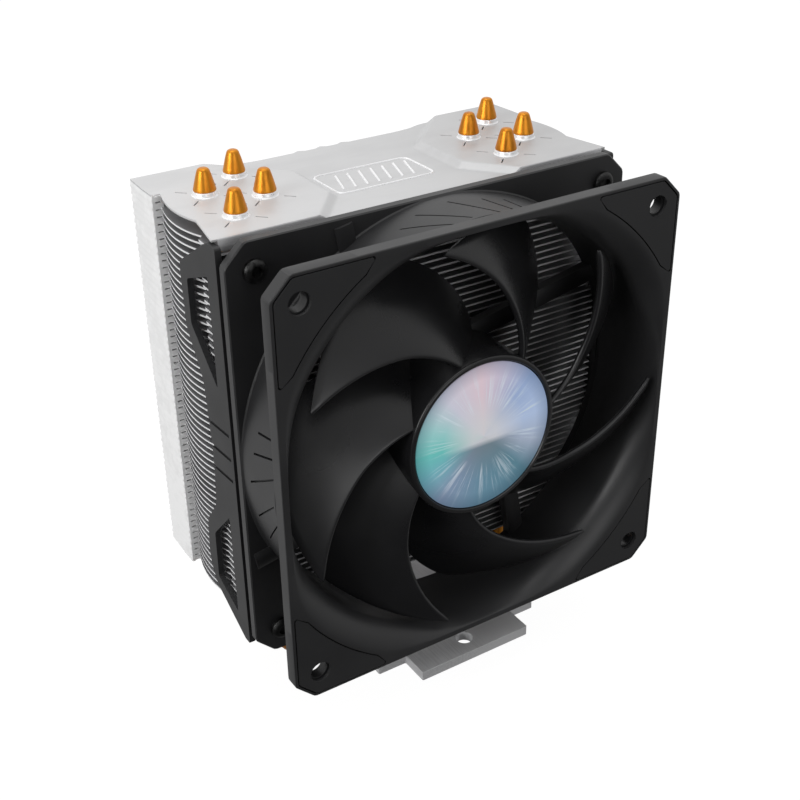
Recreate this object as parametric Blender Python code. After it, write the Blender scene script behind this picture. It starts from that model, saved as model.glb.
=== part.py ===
"""CPU tower cooler: four U-shaped heat pipes through a stack of fins, and a 120 mm clip-on fan.

Metres, +Z up. The origin is the centre of the base's contact face. -Y is the front, where the
fan draws air in, and +X is to the right of someone facing the fan.
"""

from math import atan2, cos, pi, radians, sin

import bmesh
import bpy
from mathutils import Matrix, Vector

MM = 0.001
GAP = 0.3 * MM                      # clearance left between two solids that meet

# ---------------------------------------------------------------- driving dimensions
FAN_SIZE = 120 * MM                 # standard 120 mm fan
FAN_DEPTH = 25 * MM
FAN_HOLE_SPACING = 105 * MM
FAN_FRONT = -54.0 * MM              # y of the fan's front face
FAN_AXIS_Z = 89.0 * MM

FIN_HALF_WIDTH = 58.5 * MM
FIN_FRONT = -25.2 * MM
FIN_REAR = 26.3 * MM
ARM_RECESS = 0.6 * MM               # the fins are narrower where the fan bracket's arms reach back
FIN_BOTTOM = 34.5 * MM
STACK_PITCH = 8.0 * MM              # one modelled plate stands for four real fins
STACK_COUNT = 14
TAB_FACE = 11.2 * MM                # y of the step in the fins' sides, where their tabs lock
STACK_PLATE = 1.6 * MM
TOP_FIN_Z = 146.5 * MM              # upper side of the top fin between its platforms
TOP_FIN_SHEET = 0.8 * MM
PLATFORM_RISE = 1.5 * MM

PIPE_R = 3.0 * MM
PIPE_ROW_PITCH = 8.75 * MM
PIPE_SPAN = 81.6 * MM               # between the two legs of one pipe
PIPE_SHIFT = -0.45 * MM             # middle of the whole set of pipes
PIPE_STAGGER = 6.25 * MM            # alternate pipes shift this far left or right
PIPE_BEND_MARGIN = 0.5 * MM         # a leg's bend ends this far outside the base block
PIPE_NECK_R = 2.1 * MM              # where the pipe passes through the top fin's collar
PIPE_HEAD_R = 2.85 * MM             # the sealed copper head above the collar
PIPE_TIP_Z = 155.0 * MM
COLLAR_R = 3.1 * MM
COLLAR_RISE = 1.2 * MM

BASE_X = 38.0 * MM
BASE_Y = 38.0 * MM
BASE_Z = 13.6 * MM
PLATE_THICK = 3.0 * MM
PLATE_HALF_X = 27.3 * MM
PLATE_HALF_Y = 41.2 * MM
LUG_HALF_X = 18.4 * MM
LUG_HALF_Y = 50.2 * MM
LUG_HOLE_Y = 44.2 * MM
LUG_HOLE_R = 2.5 * MM
PLATE_SCREW_XY = (14.0 * MM, 15.0 * MM)
PLATE_SCREW_R = 1.5 * MM

# fan frame
FLANGE = 4.3 * MM
REAR_FLANGE = 2.9 * MM
CORNER_CUT = 5.5 * MM
THROAT_R = 57.5 * MM
FLARE_R = 64.6 * MM                 # bell mouth's outer edge in the corners
RIM = 1.7 * MM                      # flat rim left outside the bell mouth along each side
SHROUD_R = 59.6 * MM
FRAME_HOLE_R = 2.5 * MM
MOUNT_R = 22.0 * MM                 # motor mount disc behind the rotor
MOUNT_DEPTH = 3.4 * MM
TUBE_R = 5.5 * MM
TUBE_BORE_R = 4.4 * MM
STRUT_WIDTH = 5.0 * MM
PAD_R = 65.6 * MM                   # inner arc of the corner pads
PAD_INSET = 1.1 * MM
PAD_DEPTH = 1.0 * MM
PAD_TAIL = 33.0 * MM                # the pads' tails stop this far from the fan's axis
PAD_HOLE_R = 2.9 * MM

# rotor
BLADES = 7
BLADE_TIP_R = 56.0 * MM
BLADE_TIP_ANGLE = radians(2.0)
BLADE_CHORD = radians(40.0)
BLADE_SWEEP = radians(1.42) / MM    # the blade lies back this much for each metre inwards
BLADE_THICK = 1.6 * MM
BLADE_FRONT = 3.6 * MM              # depths are counted back from the fan's front face
BLADE_LEAN = 2.6 * MM               # the leading edge comes this much further forward at the tip
BLADE_LEAN_R = 36.0 * MM            # radius where it starts to come forward
BLADE_BACK = 19.9 * MM
HUB_R = 22.75 * MM
HUB_WALL = 1.7 * MM
HUB_FRONT = 2.0 * MM
HUB_BACK = 20.6 * MM
BADGE_R = 21.0 * MM
SHAFT_R = 1.5 * MM
BUSH_BORE_R = 1.56 * MM

# bracket
ARM_INNER = 58.3 * MM
ARM_OUTER = 60.0 * MM
BRACKET_STRIP = 2.3 * MM
STRIP_OUTER = 59.0 * MM
STRIP_TOP = 58.2 * MM               # a little lower than the fan, so it hides behind the flange
BRACKET_RING_R = 58.6 * MM

PIPE_SIDES = 8
HOLE_SIDES = 6                      # of the holes in the fins
TURN_SIDES = 42
INNER_SIDES = 24                    # parts hidden inside the motor


# ---------------------------------------------------------------- helpers
def material(name, colour, roughness, metallic=0.0):
    made = bpy.data.materials.new(name)
    made.use_nodes = True
    shader = made.node_tree.nodes["Principled BSDF"]
    shader.inputs["Base Color"].default_value = (*colour, 1.0)
    shader.inputs["Roughness"].default_value = roughness
    shader.inputs["Metallic"].default_value = metallic
    return made


def add_object(name, bm, mat=None, smooth=False):
    bmesh.ops.recalc_face_normals(bm, faces=bm.faces)
    mesh = bpy.data.meshes.new(name)
    bm.to_mesh(mesh)
    bm.free()
    if smooth:
        mesh.shade_smooth()
        mesh.set_sharp_from_angle(angle=radians(35))
    obj = bpy.data.objects.new(name, mesh)
    bpy.context.scene.collection.objects.link(obj)
    if mat:
        mesh.materials.append(mat)
    return obj


def boolean(obj, operation, name, bm):
    """Joins or cuts obj with a hidden helper made from bm."""
    helper = add_object(name, bm)
    helper.hide_render = True
    helper.display_type = "WIRE"
    helper.parent = obj.parent
    step = obj.modifiers.new(name, "BOOLEAN")
    step.operation = operation
    step.solver = "EXACT"
    step.object = helper
    return obj


def loft(bm, rings, closed=False):
    """Skins rings of equal length; closed joins the last ring to the first, otherwise caps both."""
    rows = [[bm.verts.new(p) for p in ring] for ring in rings]
    pairs = list(zip(rows, rows[1:]))
    if closed:
        pairs.append((rows[-1], rows[0]))
    for low, high in pairs:
        count = len(low)
        for i in range(count):
            j = (i + 1) % count
            bm.faces.new((low[i], low[j], high[j], high[i]))
    if not closed:
        bm.faces.new(rows[0][::-1])
        bm.faces.new(rows[-1])


def prism(bm, outline, axis, low, high):
    """Extrudes a 2-D outline along an axis, between two positions on it."""
    def place(point, level):
        u, v = point
        return {"X": (level, u, v), "Y": (u, level, v), "Z": (u, v, level)}[axis]
    loft(bm, [[place(p, low) for p in outline], [place(p, high) for p in outline]])


def circle(radius, sides, centre=(0.0, 0.0), start=0.0):
    return [(centre[0] + radius * cos(start + 2 * pi * i / sides),
             centre[1] + radius * sin(start + 2 * pi * i / sides)) for i in range(sides)]


def box_outline(x0, x1, y0, y1):
    return [(x0, y0), (x1, y0), (x1, y1), (x0, y1)]


def turned(bm, profile, sides=TURN_SIDES):
    """Turns a closed profile of (radius, depth) points about the Y axis."""
    rings = []
    for i in range(sides):
        a = 2 * pi * i / sides
        rings.append([(r * cos(a), depth, r * sin(a)) for r, depth in profile])
    loft(bm, rings, closed=True)


def arc(radius, start, end, steps, centre=(0.0, 0.0)):
    return [(centre[0] + radius * cos(start + (end - start) * i / steps),
             centre[1] + radius * sin(start + (end - start) * i / steps))
            for i in range(steps + 1)]


def tube_along(bm, path, radii, sides):
    """Sweeps a round section along a path of points, with one radius for each point."""
    points = [Vector(p) for p in path]
    side = None
    rings = []
    for i, here in enumerate(points):
        ahead = points[min(i + 1, len(points) - 1)] - points[max(i - 1, 0)]
        ahead.normalize()
        if side is None:
            side = ahead.orthogonal().normalized()
        side = (side - ahead * side.dot(ahead)).normalized()
        other = ahead.cross(side)
        rings.append([here + (side * cos(a) + other * sin(a)) * radii[i]
                      for a in (2 * pi * (k + 0.5) / sides for k in range(sides))])
    loft(bm, rings)


def empty(name, location):
    made = bpy.data.objects.new(name, None)
    made.location = location
    bpy.context.scene.collection.objects.link(made)
    return made


def drop_default_objects():
    for obj in list(bpy.data.objects):
        bpy.data.objects.remove(obj, do_unlink=True)


# ---------------------------------------------------------------- heatsink
def pipe_rows():
    """The y and x shift of each heat pipe, from the front to the rear."""
    rows = []
    for i in range(4):
        shift = PIPE_STAGGER if i % 2 else -PIPE_STAGGER
        rows.append(((i - 1.5) * PIPE_ROW_PITCH, PIPE_SHIFT + shift))
    return rows


def pipe_legs():
    return [(shift + side * PIPE_SPAN / 2, y) for y, shift in pipe_rows() for side in (-1, 1)]


def make_base_block(mat):
    bm = bmesh.new()
    prism(bm, box_outline(-BASE_X / 2, BASE_X / 2, -BASE_Y / 2, BASE_Y / 2), "Z", 0.0, BASE_Z)
    obj = add_object("base_block", bm, mat)
    cut = bmesh.new()
    half = PIPE_R + GAP
    for y, _ in pipe_rows():
        crown = arc(half, 0.0, pi, 6, (y, PIPE_R))
        channel = [(y - half, -1 * MM), (y + half, -1 * MM)] + crown
        prism(cut, channel, "X", -BASE_X, BASE_X)
    for x, y in screw_places():
        prism(cut, circle(PLATE_SCREW_R + GAP, 12, (x, y)), "Z", BASE_Z - 4.5 * MM, BASE_Z + 1 * MM)
    return boolean(obj, "DIFFERENCE", "base_cutter", cut)


def screw_places():
    sx, sy = PLATE_SCREW_XY
    return [(x, y) for x in (-sx, sx) for y in (-sy, sy)]


def make_mounting_plate(mat):
    quarter = [(LUG_HALF_X, LUG_HALF_Y), (LUG_HALF_X, PLATE_HALF_Y), (PLATE_HALF_X, PLATE_HALF_Y)]
    outline = ([(x, y) for x, y in quarter] + [(x, -y) for x, y in quarter[::-1]]
               + [(-x, -y) for x, y in quarter] + [(-x, y) for x, y in quarter[::-1]])
    low = BASE_Z + GAP
    bm = bmesh.new()
    prism(bm, outline, "Z", low, low + PLATE_THICK)
    obj = add_object("mounting_plate", bm, mat)
    cut = bmesh.new()
    for y in (-LUG_HOLE_Y, LUG_HOLE_Y):
        prism(cut, circle(LUG_HOLE_R, 24, (0.0, y)), "Z", low - 1 * MM, low + PLATE_THICK + 1 * MM)
    for x, y in screw_places():
        prism(cut, circle(PLATE_SCREW_R + GAP, 12, (x, y)), "Z", low - MM, low + PLATE_THICK + MM)
    return boolean(obj, "DIFFERENCE", "plate_cutter", cut)


def make_plate_screws(mat):
    top = BASE_Z + GAP + PLATE_THICK
    for index, (x, y) in enumerate(screw_places(), 1):
        rings = []
        for r, z in ((PLATE_SCREW_R, BASE_Z - 4.0 * MM), (PLATE_SCREW_R, top + GAP),
                     (2.9 * MM, top + GAP), (2.9 * MM, top + 1.5 * MM), (2.2 * MM, top + 2.0 * MM)):
            rings.append([(px, py, z) for px, py in circle(r, 12, (x, y))])
        bm = bmesh.new()
        loft(bm, rings)
        add_object(f"plate_screw_{index}", bm, mat, smooth=True)


def make_heat_pipe(index, mat):
    y, shift = pipe_rows()[index]
    left, right = shift - PIPE_SPAN / 2, shift + PIPE_SPAN / 2
    start = BASE_X / 2 + PIPE_BEND_MARGIN
    seat = TOP_FIN_Z + PLATFORM_RISE
    collar = seat + COLLAR_RISE

    # one leg's top, from where the neck starts up to the sealed tip
    top = [(TOP_FIN_Z - 2.0 * MM, PIPE_R), (TOP_FIN_Z - 1.5 * MM, PIPE_NECK_R),
           (collar + GAP, PIPE_NECK_R), (collar + 1.2 * GAP, PIPE_HEAD_R),
           (PIPE_TIP_Z - 1.2 * MM, 0.58 * PIPE_HEAD_R), (PIPE_TIP_Z - 0.4 * MM, 0.46 * PIPE_HEAD_R),
           (PIPE_TIP_Z, 0.2 * PIPE_HEAD_R)]
    path = [(left, y, z) for z, _ in top[::-1]]
    radii = [r for _, r in top[::-1]]
    bend_left = arc(-start - left, pi, 1.5 * pi, 6, (-start, PIPE_R - start - left))
    bend_right = arc(right - start, 1.5 * pi, 2 * pi, 6, (start, PIPE_R + right - start))
    for x, z in bend_left + bend_right:
        path.append((x, y, z))
        radii.append(PIPE_R)
    path += [(right, y, z) for z, _ in top]
    radii += [r for _, r in top]
    bm = bmesh.new()
    tube_along(bm, path, radii, PIPE_SIDES)
    add_object(f"heat_pipe_{index + 1}", bm, mat, smooth=True)


def fin_side(rim=0.0):
    """A fin's right edge from the front to the rear; a rim draws it in on every side.

    Each row is (how far inside FIN_HALF_WIDTH, y, which way the rim moves the point in y)."""
    rows = ((ARM_RECESS, FIN_FRONT, 1), (ARM_RECESS, -13.9 * MM, -1), (2.2 * MM, -12.3 * MM, -1),
            (1.0 * MM, -8.5 * MM, 0), (0.5 * MM, -4.0 * MM, 0), (0.0, 1.5 * MM, 0),
            (0.6 * MM, 6.3 * MM, 0), (2.0 * MM, TAB_FACE, 1), (-0.4 * MM, TAB_FACE + 0.4 * MM, 1),
            (-0.4 * MM, 17.0 * MM, 0), (0.0, FIN_REAR, -1))
    return [(FIN_HALF_WIDTH - inset - rim, y + way * rim) for inset, y, way in rows]


def fin_outline():
    """A fin's whole edge: its right half from the front to the rear, then the mirror image."""
    half = fin_side() + [(34.5 * MM, FIN_REAR), (28.0 * MM, FIN_REAR - 1.4 * MM),
                         (18.0 * MM, FIN_REAR - 2.2 * MM)]
    return half + [(-x, y) for x, y in half[::-1]]


def pipe_holes(radius, low, high):
    """Cutters whose flat sides, not only their corners, lie at that radius or beyond."""
    cut = bmesh.new()
    corner = radius / cos(pi / HOLE_SIDES)
    for x, y in pipe_legs():
        prism(cut, circle(corner, HOLE_SIDES, (x, y), pi / HOLE_SIDES), "Z", low, high)
    return cut


def make_fin_stack(mat):
    bm = bmesh.new()
    for i in range(STACK_COUNT):
        low = FIN_BOTTOM + i * STACK_PITCH
        prism(bm, fin_outline(), "Z", low, low + STACK_PLATE)
    obj = add_object("fin_stack", bm, mat)
    top = FIN_BOTTOM + (STACK_COUNT - 1) * STACK_PITCH + 0.5 * STACK_PLATE
    columns = bmesh.new()
    for side in (-1, 1):
        inner, outer = sorted((side * (FIN_HALF_WIDTH - 1.5 * MM), side * (FIN_HALF_WIDTH + 0.8 * MM)))
        prism(columns, box_outline(inner, outer, TAB_FACE - 0.4 * MM, TAB_FACE + 2 * MM),
              "Z", FIN_BOTTOM + 0.5 * STACK_PLATE, top)
    boolean(obj, "UNION", "fin_columns", columns)
    return boolean(obj, "DIFFERENCE", "fin_holes",
                   pipe_holes(PIPE_R + GAP, FIN_BOTTOM - 2 * MM, TOP_FIN_Z))


def platform_outline(rim, slope):
    """A raised end of the top fin, on the +X side: rim draws in its outer edges, slope its inner."""
    inner = [(35.0 * MM, FIN_REAR - rim), (26.0 * MM, 17.0 * MM), (18.5 * MM, 9.0 * MM),
             (18.5 * MM, -12.5 * MM), (28.5 * MM, FIN_FRONT + rim)]
    return fin_side(rim) + [(x + slope, y) for x, y in inner]


def make_top_fin(mat):
    low = TOP_FIN_Z - TOP_FIN_SHEET
    bm = bmesh.new()
    prism(bm, fin_outline(), "Z", low, TOP_FIN_Z)
    obj = add_object("top_fin", bm, mat)
    raised, pocket, collars = bmesh.new(), bmesh.new(), bmesh.new()
    rise = TOP_FIN_Z + PLATFORM_RISE
    for side in (-1, 1):
        wide = [(side * x, y) for x, y in platform_outline(0.1 * MM, 0.0)]
        crown = [(side * x, y) for x, y in platform_outline(0.3 * MM, 2.0 * MM)]
        loft(raised, [[(x, y, low + 0.2 * MM) for x, y in wide], [(x, y, rise) for x, y in crown]])
        inner = [(side * x, y) for x, y in platform_outline(1.1 * MM, 3.0 * MM)]
        prism(pocket, inner, "Z", low - 1 * MM, rise - TOP_FIN_SHEET)
    for x, y in pipe_legs():
        prism(collars, circle(COLLAR_R, 16, (x, y)), "Z", rise - 0.4 * MM, rise + COLLAR_RISE)
    boolean(obj, "UNION", "top_fin_platforms", raised)
    boolean(obj, "DIFFERENCE", "top_fin_pockets", pocket)
    boolean(obj, "UNION", "top_fin_collars", collars)
    return boolean(obj, "DIFFERENCE", "top_fin_holes",
                   pipe_holes(PIPE_NECK_R + GAP, low - 2 * MM, rise + 4 * MM))


# ---------------------------------------------------------------- fan frame and its pads
def square_reach(angle):
    """Distance from the fan's axis to its chamfered square edge, in a direction."""
    half = FAN_SIZE / 2
    c, s = abs(cos(angle)), abs(sin(angle))
    return min(half / max(c, s), (2 * half - CORNER_CUT) / (c + s))


def frame_angles():
    """Angles that include every corner of the chamfered square, with even steps between."""
    half = FAN_SIZE / 2
    corner = atan2(half - CORNER_CUT, half)
    angles = []
    for quarter in range(4):
        start = quarter * pi / 2 - corner
        for first, last, steps in ((start, start + 2 * corner, 10),
                                   (start + 2 * corner, start + pi / 2, 2)):
            angles += [first + (last - first) * k / steps for k in range(steps)]
    return angles


def bell_mouth(angle, share):
    """Radius of the bell mouth: share 0 is the throat and 1 the edge on the front face."""
    edge = min(FLARE_R, (FAN_SIZE / 2 - RIM) / max(abs(cos(angle)), abs(sin(angle))))
    return THROAT_R + (edge - THROAT_R) * share


def make_fan_frame(mat, fan):
    rings = []
    for angle in frame_angles():
        wide, shroud = square_reach(angle), min(SHROUD_R, square_reach(angle) - GAP)
        profile = [(wide, 0.0), (wide, FLANGE), (shroud, FLANGE),
                   (shroud, FAN_DEPTH - REAR_FLANGE), (wide, FAN_DEPTH - REAR_FLANGE),
                   (wide, FAN_DEPTH),
                   (bell_mouth(angle, 0.0), FAN_DEPTH), (bell_mouth(angle, 0.0), 8.0 * MM),
                   (bell_mouth(angle, 0.12), 5.0 * MM), (bell_mouth(angle, 0.45), 2.4 * MM),
                   (bell_mouth(angle, 1.0), 0.0)]
        rings.append([(r * cos(angle), depth, r * sin(angle)) for r, depth in profile])
    bm = bmesh.new()
    loft(bm, rings, closed=True)
    frame = add_object("fan_frame", bm, mat)
    frame.parent = fan

    struts = bmesh.new()
    front = FAN_DEPTH - MOUNT_DEPTH
    for k in range(4):
        turn = Matrix.Rotation(k * pi / 2, 3, "Y")
        half = STRUT_WIDTH / 2
        ends = [(8 * MM, 19 * MM), (58.3 * MM, 28.4 * MM - half)]
        (x0, z0), (x1, z1) = ends
        shape = [(x0, z0 - half), (x1, z1), (x1, z1 + STRUT_WIDTH), (x0, z0 + half)]
        loft(struts, [[turn @ Vector((x, depth, z)) for x, z in shape]
                      for depth in (front + 0.1 * MM, FAN_DEPTH - 0.1 * MM)])
    boolean(frame, "UNION", "frame_struts", struts)

    mount = bmesh.new()
    back = FAN_DEPTH
    turned(mount, [(MOUNT_R, front), (MOUNT_R, back - 0.6 * MM), (MOUNT_R - 0.6 * MM, back),
                   (0.8 * MM, back), (0.8 * MM, front + 1.2 * MM), (TUBE_BORE_R, front + 1.2 * MM),
                   (TUBE_BORE_R, 7.0 * MM), (TUBE_R, 7.0 * MM), (TUBE_R, front)], INNER_SIDES)
    boolean(frame, "UNION", "frame_motor_mount", mount)

    pockets, holes = bmesh.new(), bmesh.new()
    for outline in pad_outlines(GAP):
        prism(pockets, outline, "Y", -1 * MM, PAD_DEPTH + GAP)
        prism(pockets, outline, "Y", FAN_DEPTH - PAD_DEPTH - GAP, FAN_DEPTH + 1 * MM)
    for centre in hole_places():
        prism(holes, circle(FRAME_HOLE_R, 16, centre), "Y", -1 * MM, FAN_DEPTH + 1 * MM)
    boolean(frame, "DIFFERENCE", "frame_pockets", pockets)
    return boolean(frame, "DIFFERENCE", "frame_holes", holes)


def hole_places():
    half = FAN_HOLE_SPACING / 2
    return [(sx * half, sz * half) for sx in (-1, 1) for sz in (-1, 1)]


def pad_outlines(grow):
    """The four corner pads as seen from the front, grown by a clearance."""
    edge = FAN_SIZE / 2 - PAD_INSET + grow
    inner = PAD_R - grow
    tail = PAD_TAIL - grow
    cut = CORNER_CUT * 0.9
    start = atan2(tail, (inner ** 2 - tail ** 2) ** 0.5)
    corner = [(edge, tail), (edge, edge - cut), (edge - cut, edge), (tail, edge)]
    corner += arc(inner, pi / 2 - start, start, 6)
    return [[(sx * x, sz * z) for x, z in corner] for sx in (-1, 1) for sz in (-1, 1)]


def make_pads(mat, fan):
    names = ("lower_left", "upper_left", "lower_right", "upper_right")
    for face, low in (("front", 0.0), ("rear", FAN_DEPTH - PAD_DEPTH)):
        for name, outline, centre in zip(names, pad_outlines(0.0), hole_places()):
            bm = bmesh.new()
            prism(bm, outline, "Y", low, low + PAD_DEPTH)
            pad = add_object(f"{face}_pad_{name}", bm, mat)
            pad.parent = fan
            cut = bmesh.new()
            prism(cut, circle(PAD_HOLE_R, 16, centre), "Y", low - 1 * MM, low + PAD_DEPTH + 1 * MM)
            boolean(pad, "DIFFERENCE", f"pad_hole_{face}_{name}", cut)


# ---------------------------------------------------------------- fan brackets
def arm_outline():
    """Side view of a bracket's arm as (y from the fan's front, z from the fan's axis)."""
    points = [(26.6, -58.2), (29.2, -58.2), (45.3, -49.4), (47.9, -44.7), (48.4, -39.0),
              (47.5, -28.8), (40.6, -20.3), (39.3, -8.4), (39.3, -0.7), (40.8, 17.7),
              (48.3, 29.6), (48.7, 47.4), (31.4, 58.0), (26.6, 58.0)]
    return [(y * MM, z * MM) for y, z in points]


def arm_windows():
    upper = [(32.2, 18.9), (44.9, 31.7), (44.8, 44.1), (32.2, 49.1)]
    lower = [(32.6, -51.1), (43.8, -46.0), (43.4, -31.1), (32.6, -20.0)]
    return [[(y * MM, z * MM) for y, z in window] for window in (upper, lower)]


def make_bracket(side, mat, fan):
    name = "left_bracket" if side < 0 else "right_bracket"
    inner, outer = sorted((side * ARM_INNER, side * ARM_OUTER))
    bm = bmesh.new()
    prism(bm, arm_outline(), "X", inner, outer)
    arm = add_object(name, bm, mat)
    arm.parent = fan

    low = FAN_DEPTH + GAP
    reach = radians(43)
    corner = [(STRIP_OUTER, 52.5 * MM), (52 * MM, STRIP_TOP), (44 * MM, STRIP_TOP)]
    strip = corner + arc(BRACKET_RING_R, reach, -reach, 16) + [(x, -z) for x, z in corner[::-1]]
    shape = bmesh.new()
    prism(shape, [(side * x, z) for x, z in strip], "Y", low, low + BRACKET_STRIP)
    boolean(arm, "UNION", name + "_strip", shape)

    cut = bmesh.new()
    for window in arm_windows():
        prism(cut, window, "X", inner - 2 * MM, outer + 2 * MM)
    for z in (6.5 * MM, -0.6 * MM, -7.0 * MM):
        groove = box_outline(28 * MM, 42 * MM, z - 0.6 * MM, z + 0.6 * MM)
        face = side * ARM_OUTER
        prism(cut, groove, "X", min(face, face - side * 0.6 * MM), max(face + side * MM, face))
    for x, z in hole_places():
        if x * side > 0:
            prism(cut, circle(2.3 * MM, 16, (x, z)), "Y", low - 1 * MM, low + BRACKET_STRIP + 1 * MM)
    return boolean(arm, "DIFFERENCE", name + "_cutter", cut)


def make_bracket_screws(mat, fan):
    face = FAN_DEPTH - REAR_FLANGE
    profile = ((2.0, FAN_DEPTH + GAP + BRACKET_STRIP + 0.2 * MM), (2.0, face - GAP),
               (3.0, face - GAP), (3.0, face - 1.4 * MM), (2.3, face - 1.9 * MM))
    names = ("lower_left", "upper_left", "lower_right", "upper_right")
    for name, centre in zip(names, hole_places()):
        bm = bmesh.new()
        loft(bm, [[(x, depth, z) for x, z in circle(r * MM, 12, centre)] for r, depth in profile])
        screw = add_object(f"bracket_screw_{name}", bm, mat, smooth=True)
        screw.parent = fan


# ---------------------------------------------------------------- motor
def make_bearing_bush(mat, fan):
    bm = bmesh.new()
    r = TUBE_BORE_R - GAP
    turned(bm, [(BUSH_BORE_R, 7.6 * MM), (r, 7.6 * MM), (r, 22.4 * MM), (BUSH_BORE_R, 22.4 * MM)],
           INNER_SIDES)
    add_object("bearing_bush", bm, mat).parent = fan


def make_stator(core_mat, coil_mat, fan):
    """Four-pole laminated core on the bearing tube, with a coil round each arm."""
    bm = bmesh.new()
    reach, shoe, root, arm = 16.6 * MM, 15.0 * MM, 8.0 * MM, 2.0 * MM
    outline = []
    for k in range(4):
        a = k * pi / 2 + pi / 4
        spread = radians(34)
        foot = atan2(arm, root)
        neck = atan2(arm, shoe)
        outline += [(root * cos(a - foot), root * sin(a - foot))]
        outline += [(shoe * cos(a - neck), shoe * sin(a - neck))]
        outline += [(shoe * cos(a - spread), shoe * sin(a - spread))]
        outline += arc(reach, a - spread, a + spread, 6)
        outline += [(shoe * cos(a + spread), shoe * sin(a + spread))]
        outline += [(shoe * cos(a + neck), shoe * sin(a + neck))]
        outline += [(root * cos(a + foot), root * sin(a + foot))]
    prism(bm, outline, "Y", 9.5 * MM, 16.5 * MM)
    core = add_object("stator_core", bm, core_mat)
    core.parent = fan
    bore = bmesh.new()
    prism(bore, circle(TUBE_R + GAP, 24), "Y", 8 * MM, 18 * MM)
    boolean(core, "DIFFERENCE", "stator_bore", bore)

    inside, build, start, end = arm + GAP, 2.1 * MM, 8.8 * MM, 13.2 * MM
    low, high = 9.5 * MM - GAP, 16.5 * MM + GAP

    def ring(half, bottom, top, corner):
        return [(-half, bottom + corner), (corner - half, bottom), (half - corner, bottom),
                (half, bottom + corner), (half, top - corner), (half - corner, top),
                (corner - half, top), (-half, top - corner)]

    hole = ring(inside, low, high, 0.4 * MM)
    rim = ring(inside + build, low - build, high + 0.8 * build, build)
    for k in range(4):
        turn = Matrix.Rotation(-(k * pi / 2 + pi / 4), 3, "Y")
        sections = []
        for (hz, hd), (rz, rd) in zip(hole, rim):
            sections.append([turn @ Vector(p) for p in ((start, hd, hz), (end, hd, hz),
                                                        (end, rd, rz), (start, rd, rz))])
        coil = bmesh.new()
        loft(coil, sections, closed=True)
        add_object(f"stator_coil_{k + 1}", coil, coil_mat).parent = fan


def make_circuit_board(mat, fan):
    bm = bmesh.new()
    turned(bm, [(6.0 * MM, 18.9 * MM), (16.4 * MM, 18.9 * MM), (16.4 * MM, 20.1 * MM),
                (6.0 * MM, 20.1 * MM)], INNER_SIDES)
    add_object("circuit_board", bm, mat).parent = fan


def make_lead(lead_mat, plug_mat, fan):
    """The four-wire lead runs down behind a strut and ends in a plug tucked under the fins."""
    back = FAN_DEPTH + 1.7 * MM
    path = [(24.5, back, -9), (26.2, back, -30), (27.6, back, -52), (27.6, back, -60),
            (27.2, back + 1.2 * MM, -63.2), (26.0, back + 4 * MM, -64.6), (24.5, back + 9 * MM, -65)]
    bm = bmesh.new()
    tube_along(bm, [(x * MM, y, z * MM) for x, y, z in path], [1.3 * MM] * len(path), 8)
    add_object("fan_lead", bm, lead_mat, smooth=True).parent = fan

    bm = bmesh.new()
    x, z = 24.5 * MM, -65 * MM
    start = back + 9 * MM + GAP
    shape = [(x - 5.2 * MM, z - 2.6 * MM), (x + 5.2 * MM, z - 2.6 * MM), (x + 5.2 * MM, z + 2.6 * MM),
             (x + 2.2 * MM, z + 2.6 * MM), (x + 2.2 * MM, z + 3.6 * MM), (x - 3.4 * MM, z + 3.6 * MM),
             (x - 3.4 * MM, z + 2.6 * MM), (x - 5.2 * MM, z + 2.6 * MM)]
    prism(bm, shape, "Y", start, start + 11 * MM)
    plug = add_object("lead_plug", bm, plug_mat)
    plug.parent = fan
    cut = bmesh.new()
    for i in range(4):
        pin_x = x + (i - 1.5) * 2.54 * MM
        prism(cut, box_outline(pin_x - 0.6 * MM, pin_x + 0.6 * MM, z - 0.6 * MM, z + 0.6 * MM),
              "Y", start + 4 * MM, start + 12 * MM)
    boolean(plug, "DIFFERENCE", "plug_sockets", cut)


# ---------------------------------------------------------------- rotor
def blade_point(radius, chord, angle):
    """A point of a blade's mean surface; chord 0 is the leading edge and 1 the trailing edge."""
    lie = angle - BLADE_SWEEP * (BLADE_TIP_R - radius) - BLADE_CHORD * chord
    front = BLADE_FRONT - BLADE_LEAN * max(0.0, (radius - BLADE_LEAN_R) / (BLADE_TIP_R - BLADE_LEAN_R))
    depth = front + (BLADE_BACK - front) * chord ** 1.15
    return Vector((radius * cos(lie), depth, radius * sin(lie)))


def add_blade(bm, angle, across=6, along=7):
    root = HUB_R - 0.9 * MM
    step = 0.1 * MM
    front, back = [], []
    for i in range(across):
        radius = root + (BLADE_TIP_R - root) * i / (across - 1)
        rows = ([], [])
        for j in range(along):
            chord = j / (along - 1)
            here = blade_point(radius, chord, angle)
            along_r = blade_point(radius - step, chord, angle) - here
            along_c = blade_point(radius, chord + 0.01, angle) - here
            normal = along_r.cross(along_c).normalized()
            half = BLADE_THICK * (0.28 + 0.72 * sin(pi * min(0.97, 0.03 + chord)) ** 0.7) / 2
            rows[0].append(bm.verts.new(here + normal * half))
            rows[1].append(bm.verts.new(here - normal * half))
        front.append(rows[0])
        back.append(rows[1])
    for i in range(across - 1):
        for j in range(along - 1):
            bm.faces.new((front[i][j], front[i][j + 1], front[i + 1][j + 1], front[i + 1][j]))
            bm.faces.new((back[i][j], back[i + 1][j], back[i + 1][j + 1], back[i][j + 1]))
        bm.faces.new((front[i][0], front[i + 1][0], back[i + 1][0], back[i][0]))
        bm.faces.new((front[i][-1], back[i][-1], back[i + 1][-1], front[i + 1][-1]))
    for j in range(along - 1):
        bm.faces.new((front[0][j], back[0][j], back[0][j + 1], front[0][j + 1]))
        bm.faces.new((front[-1][j], front[-1][j + 1], back[-1][j + 1], back[-1][j]))


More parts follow.
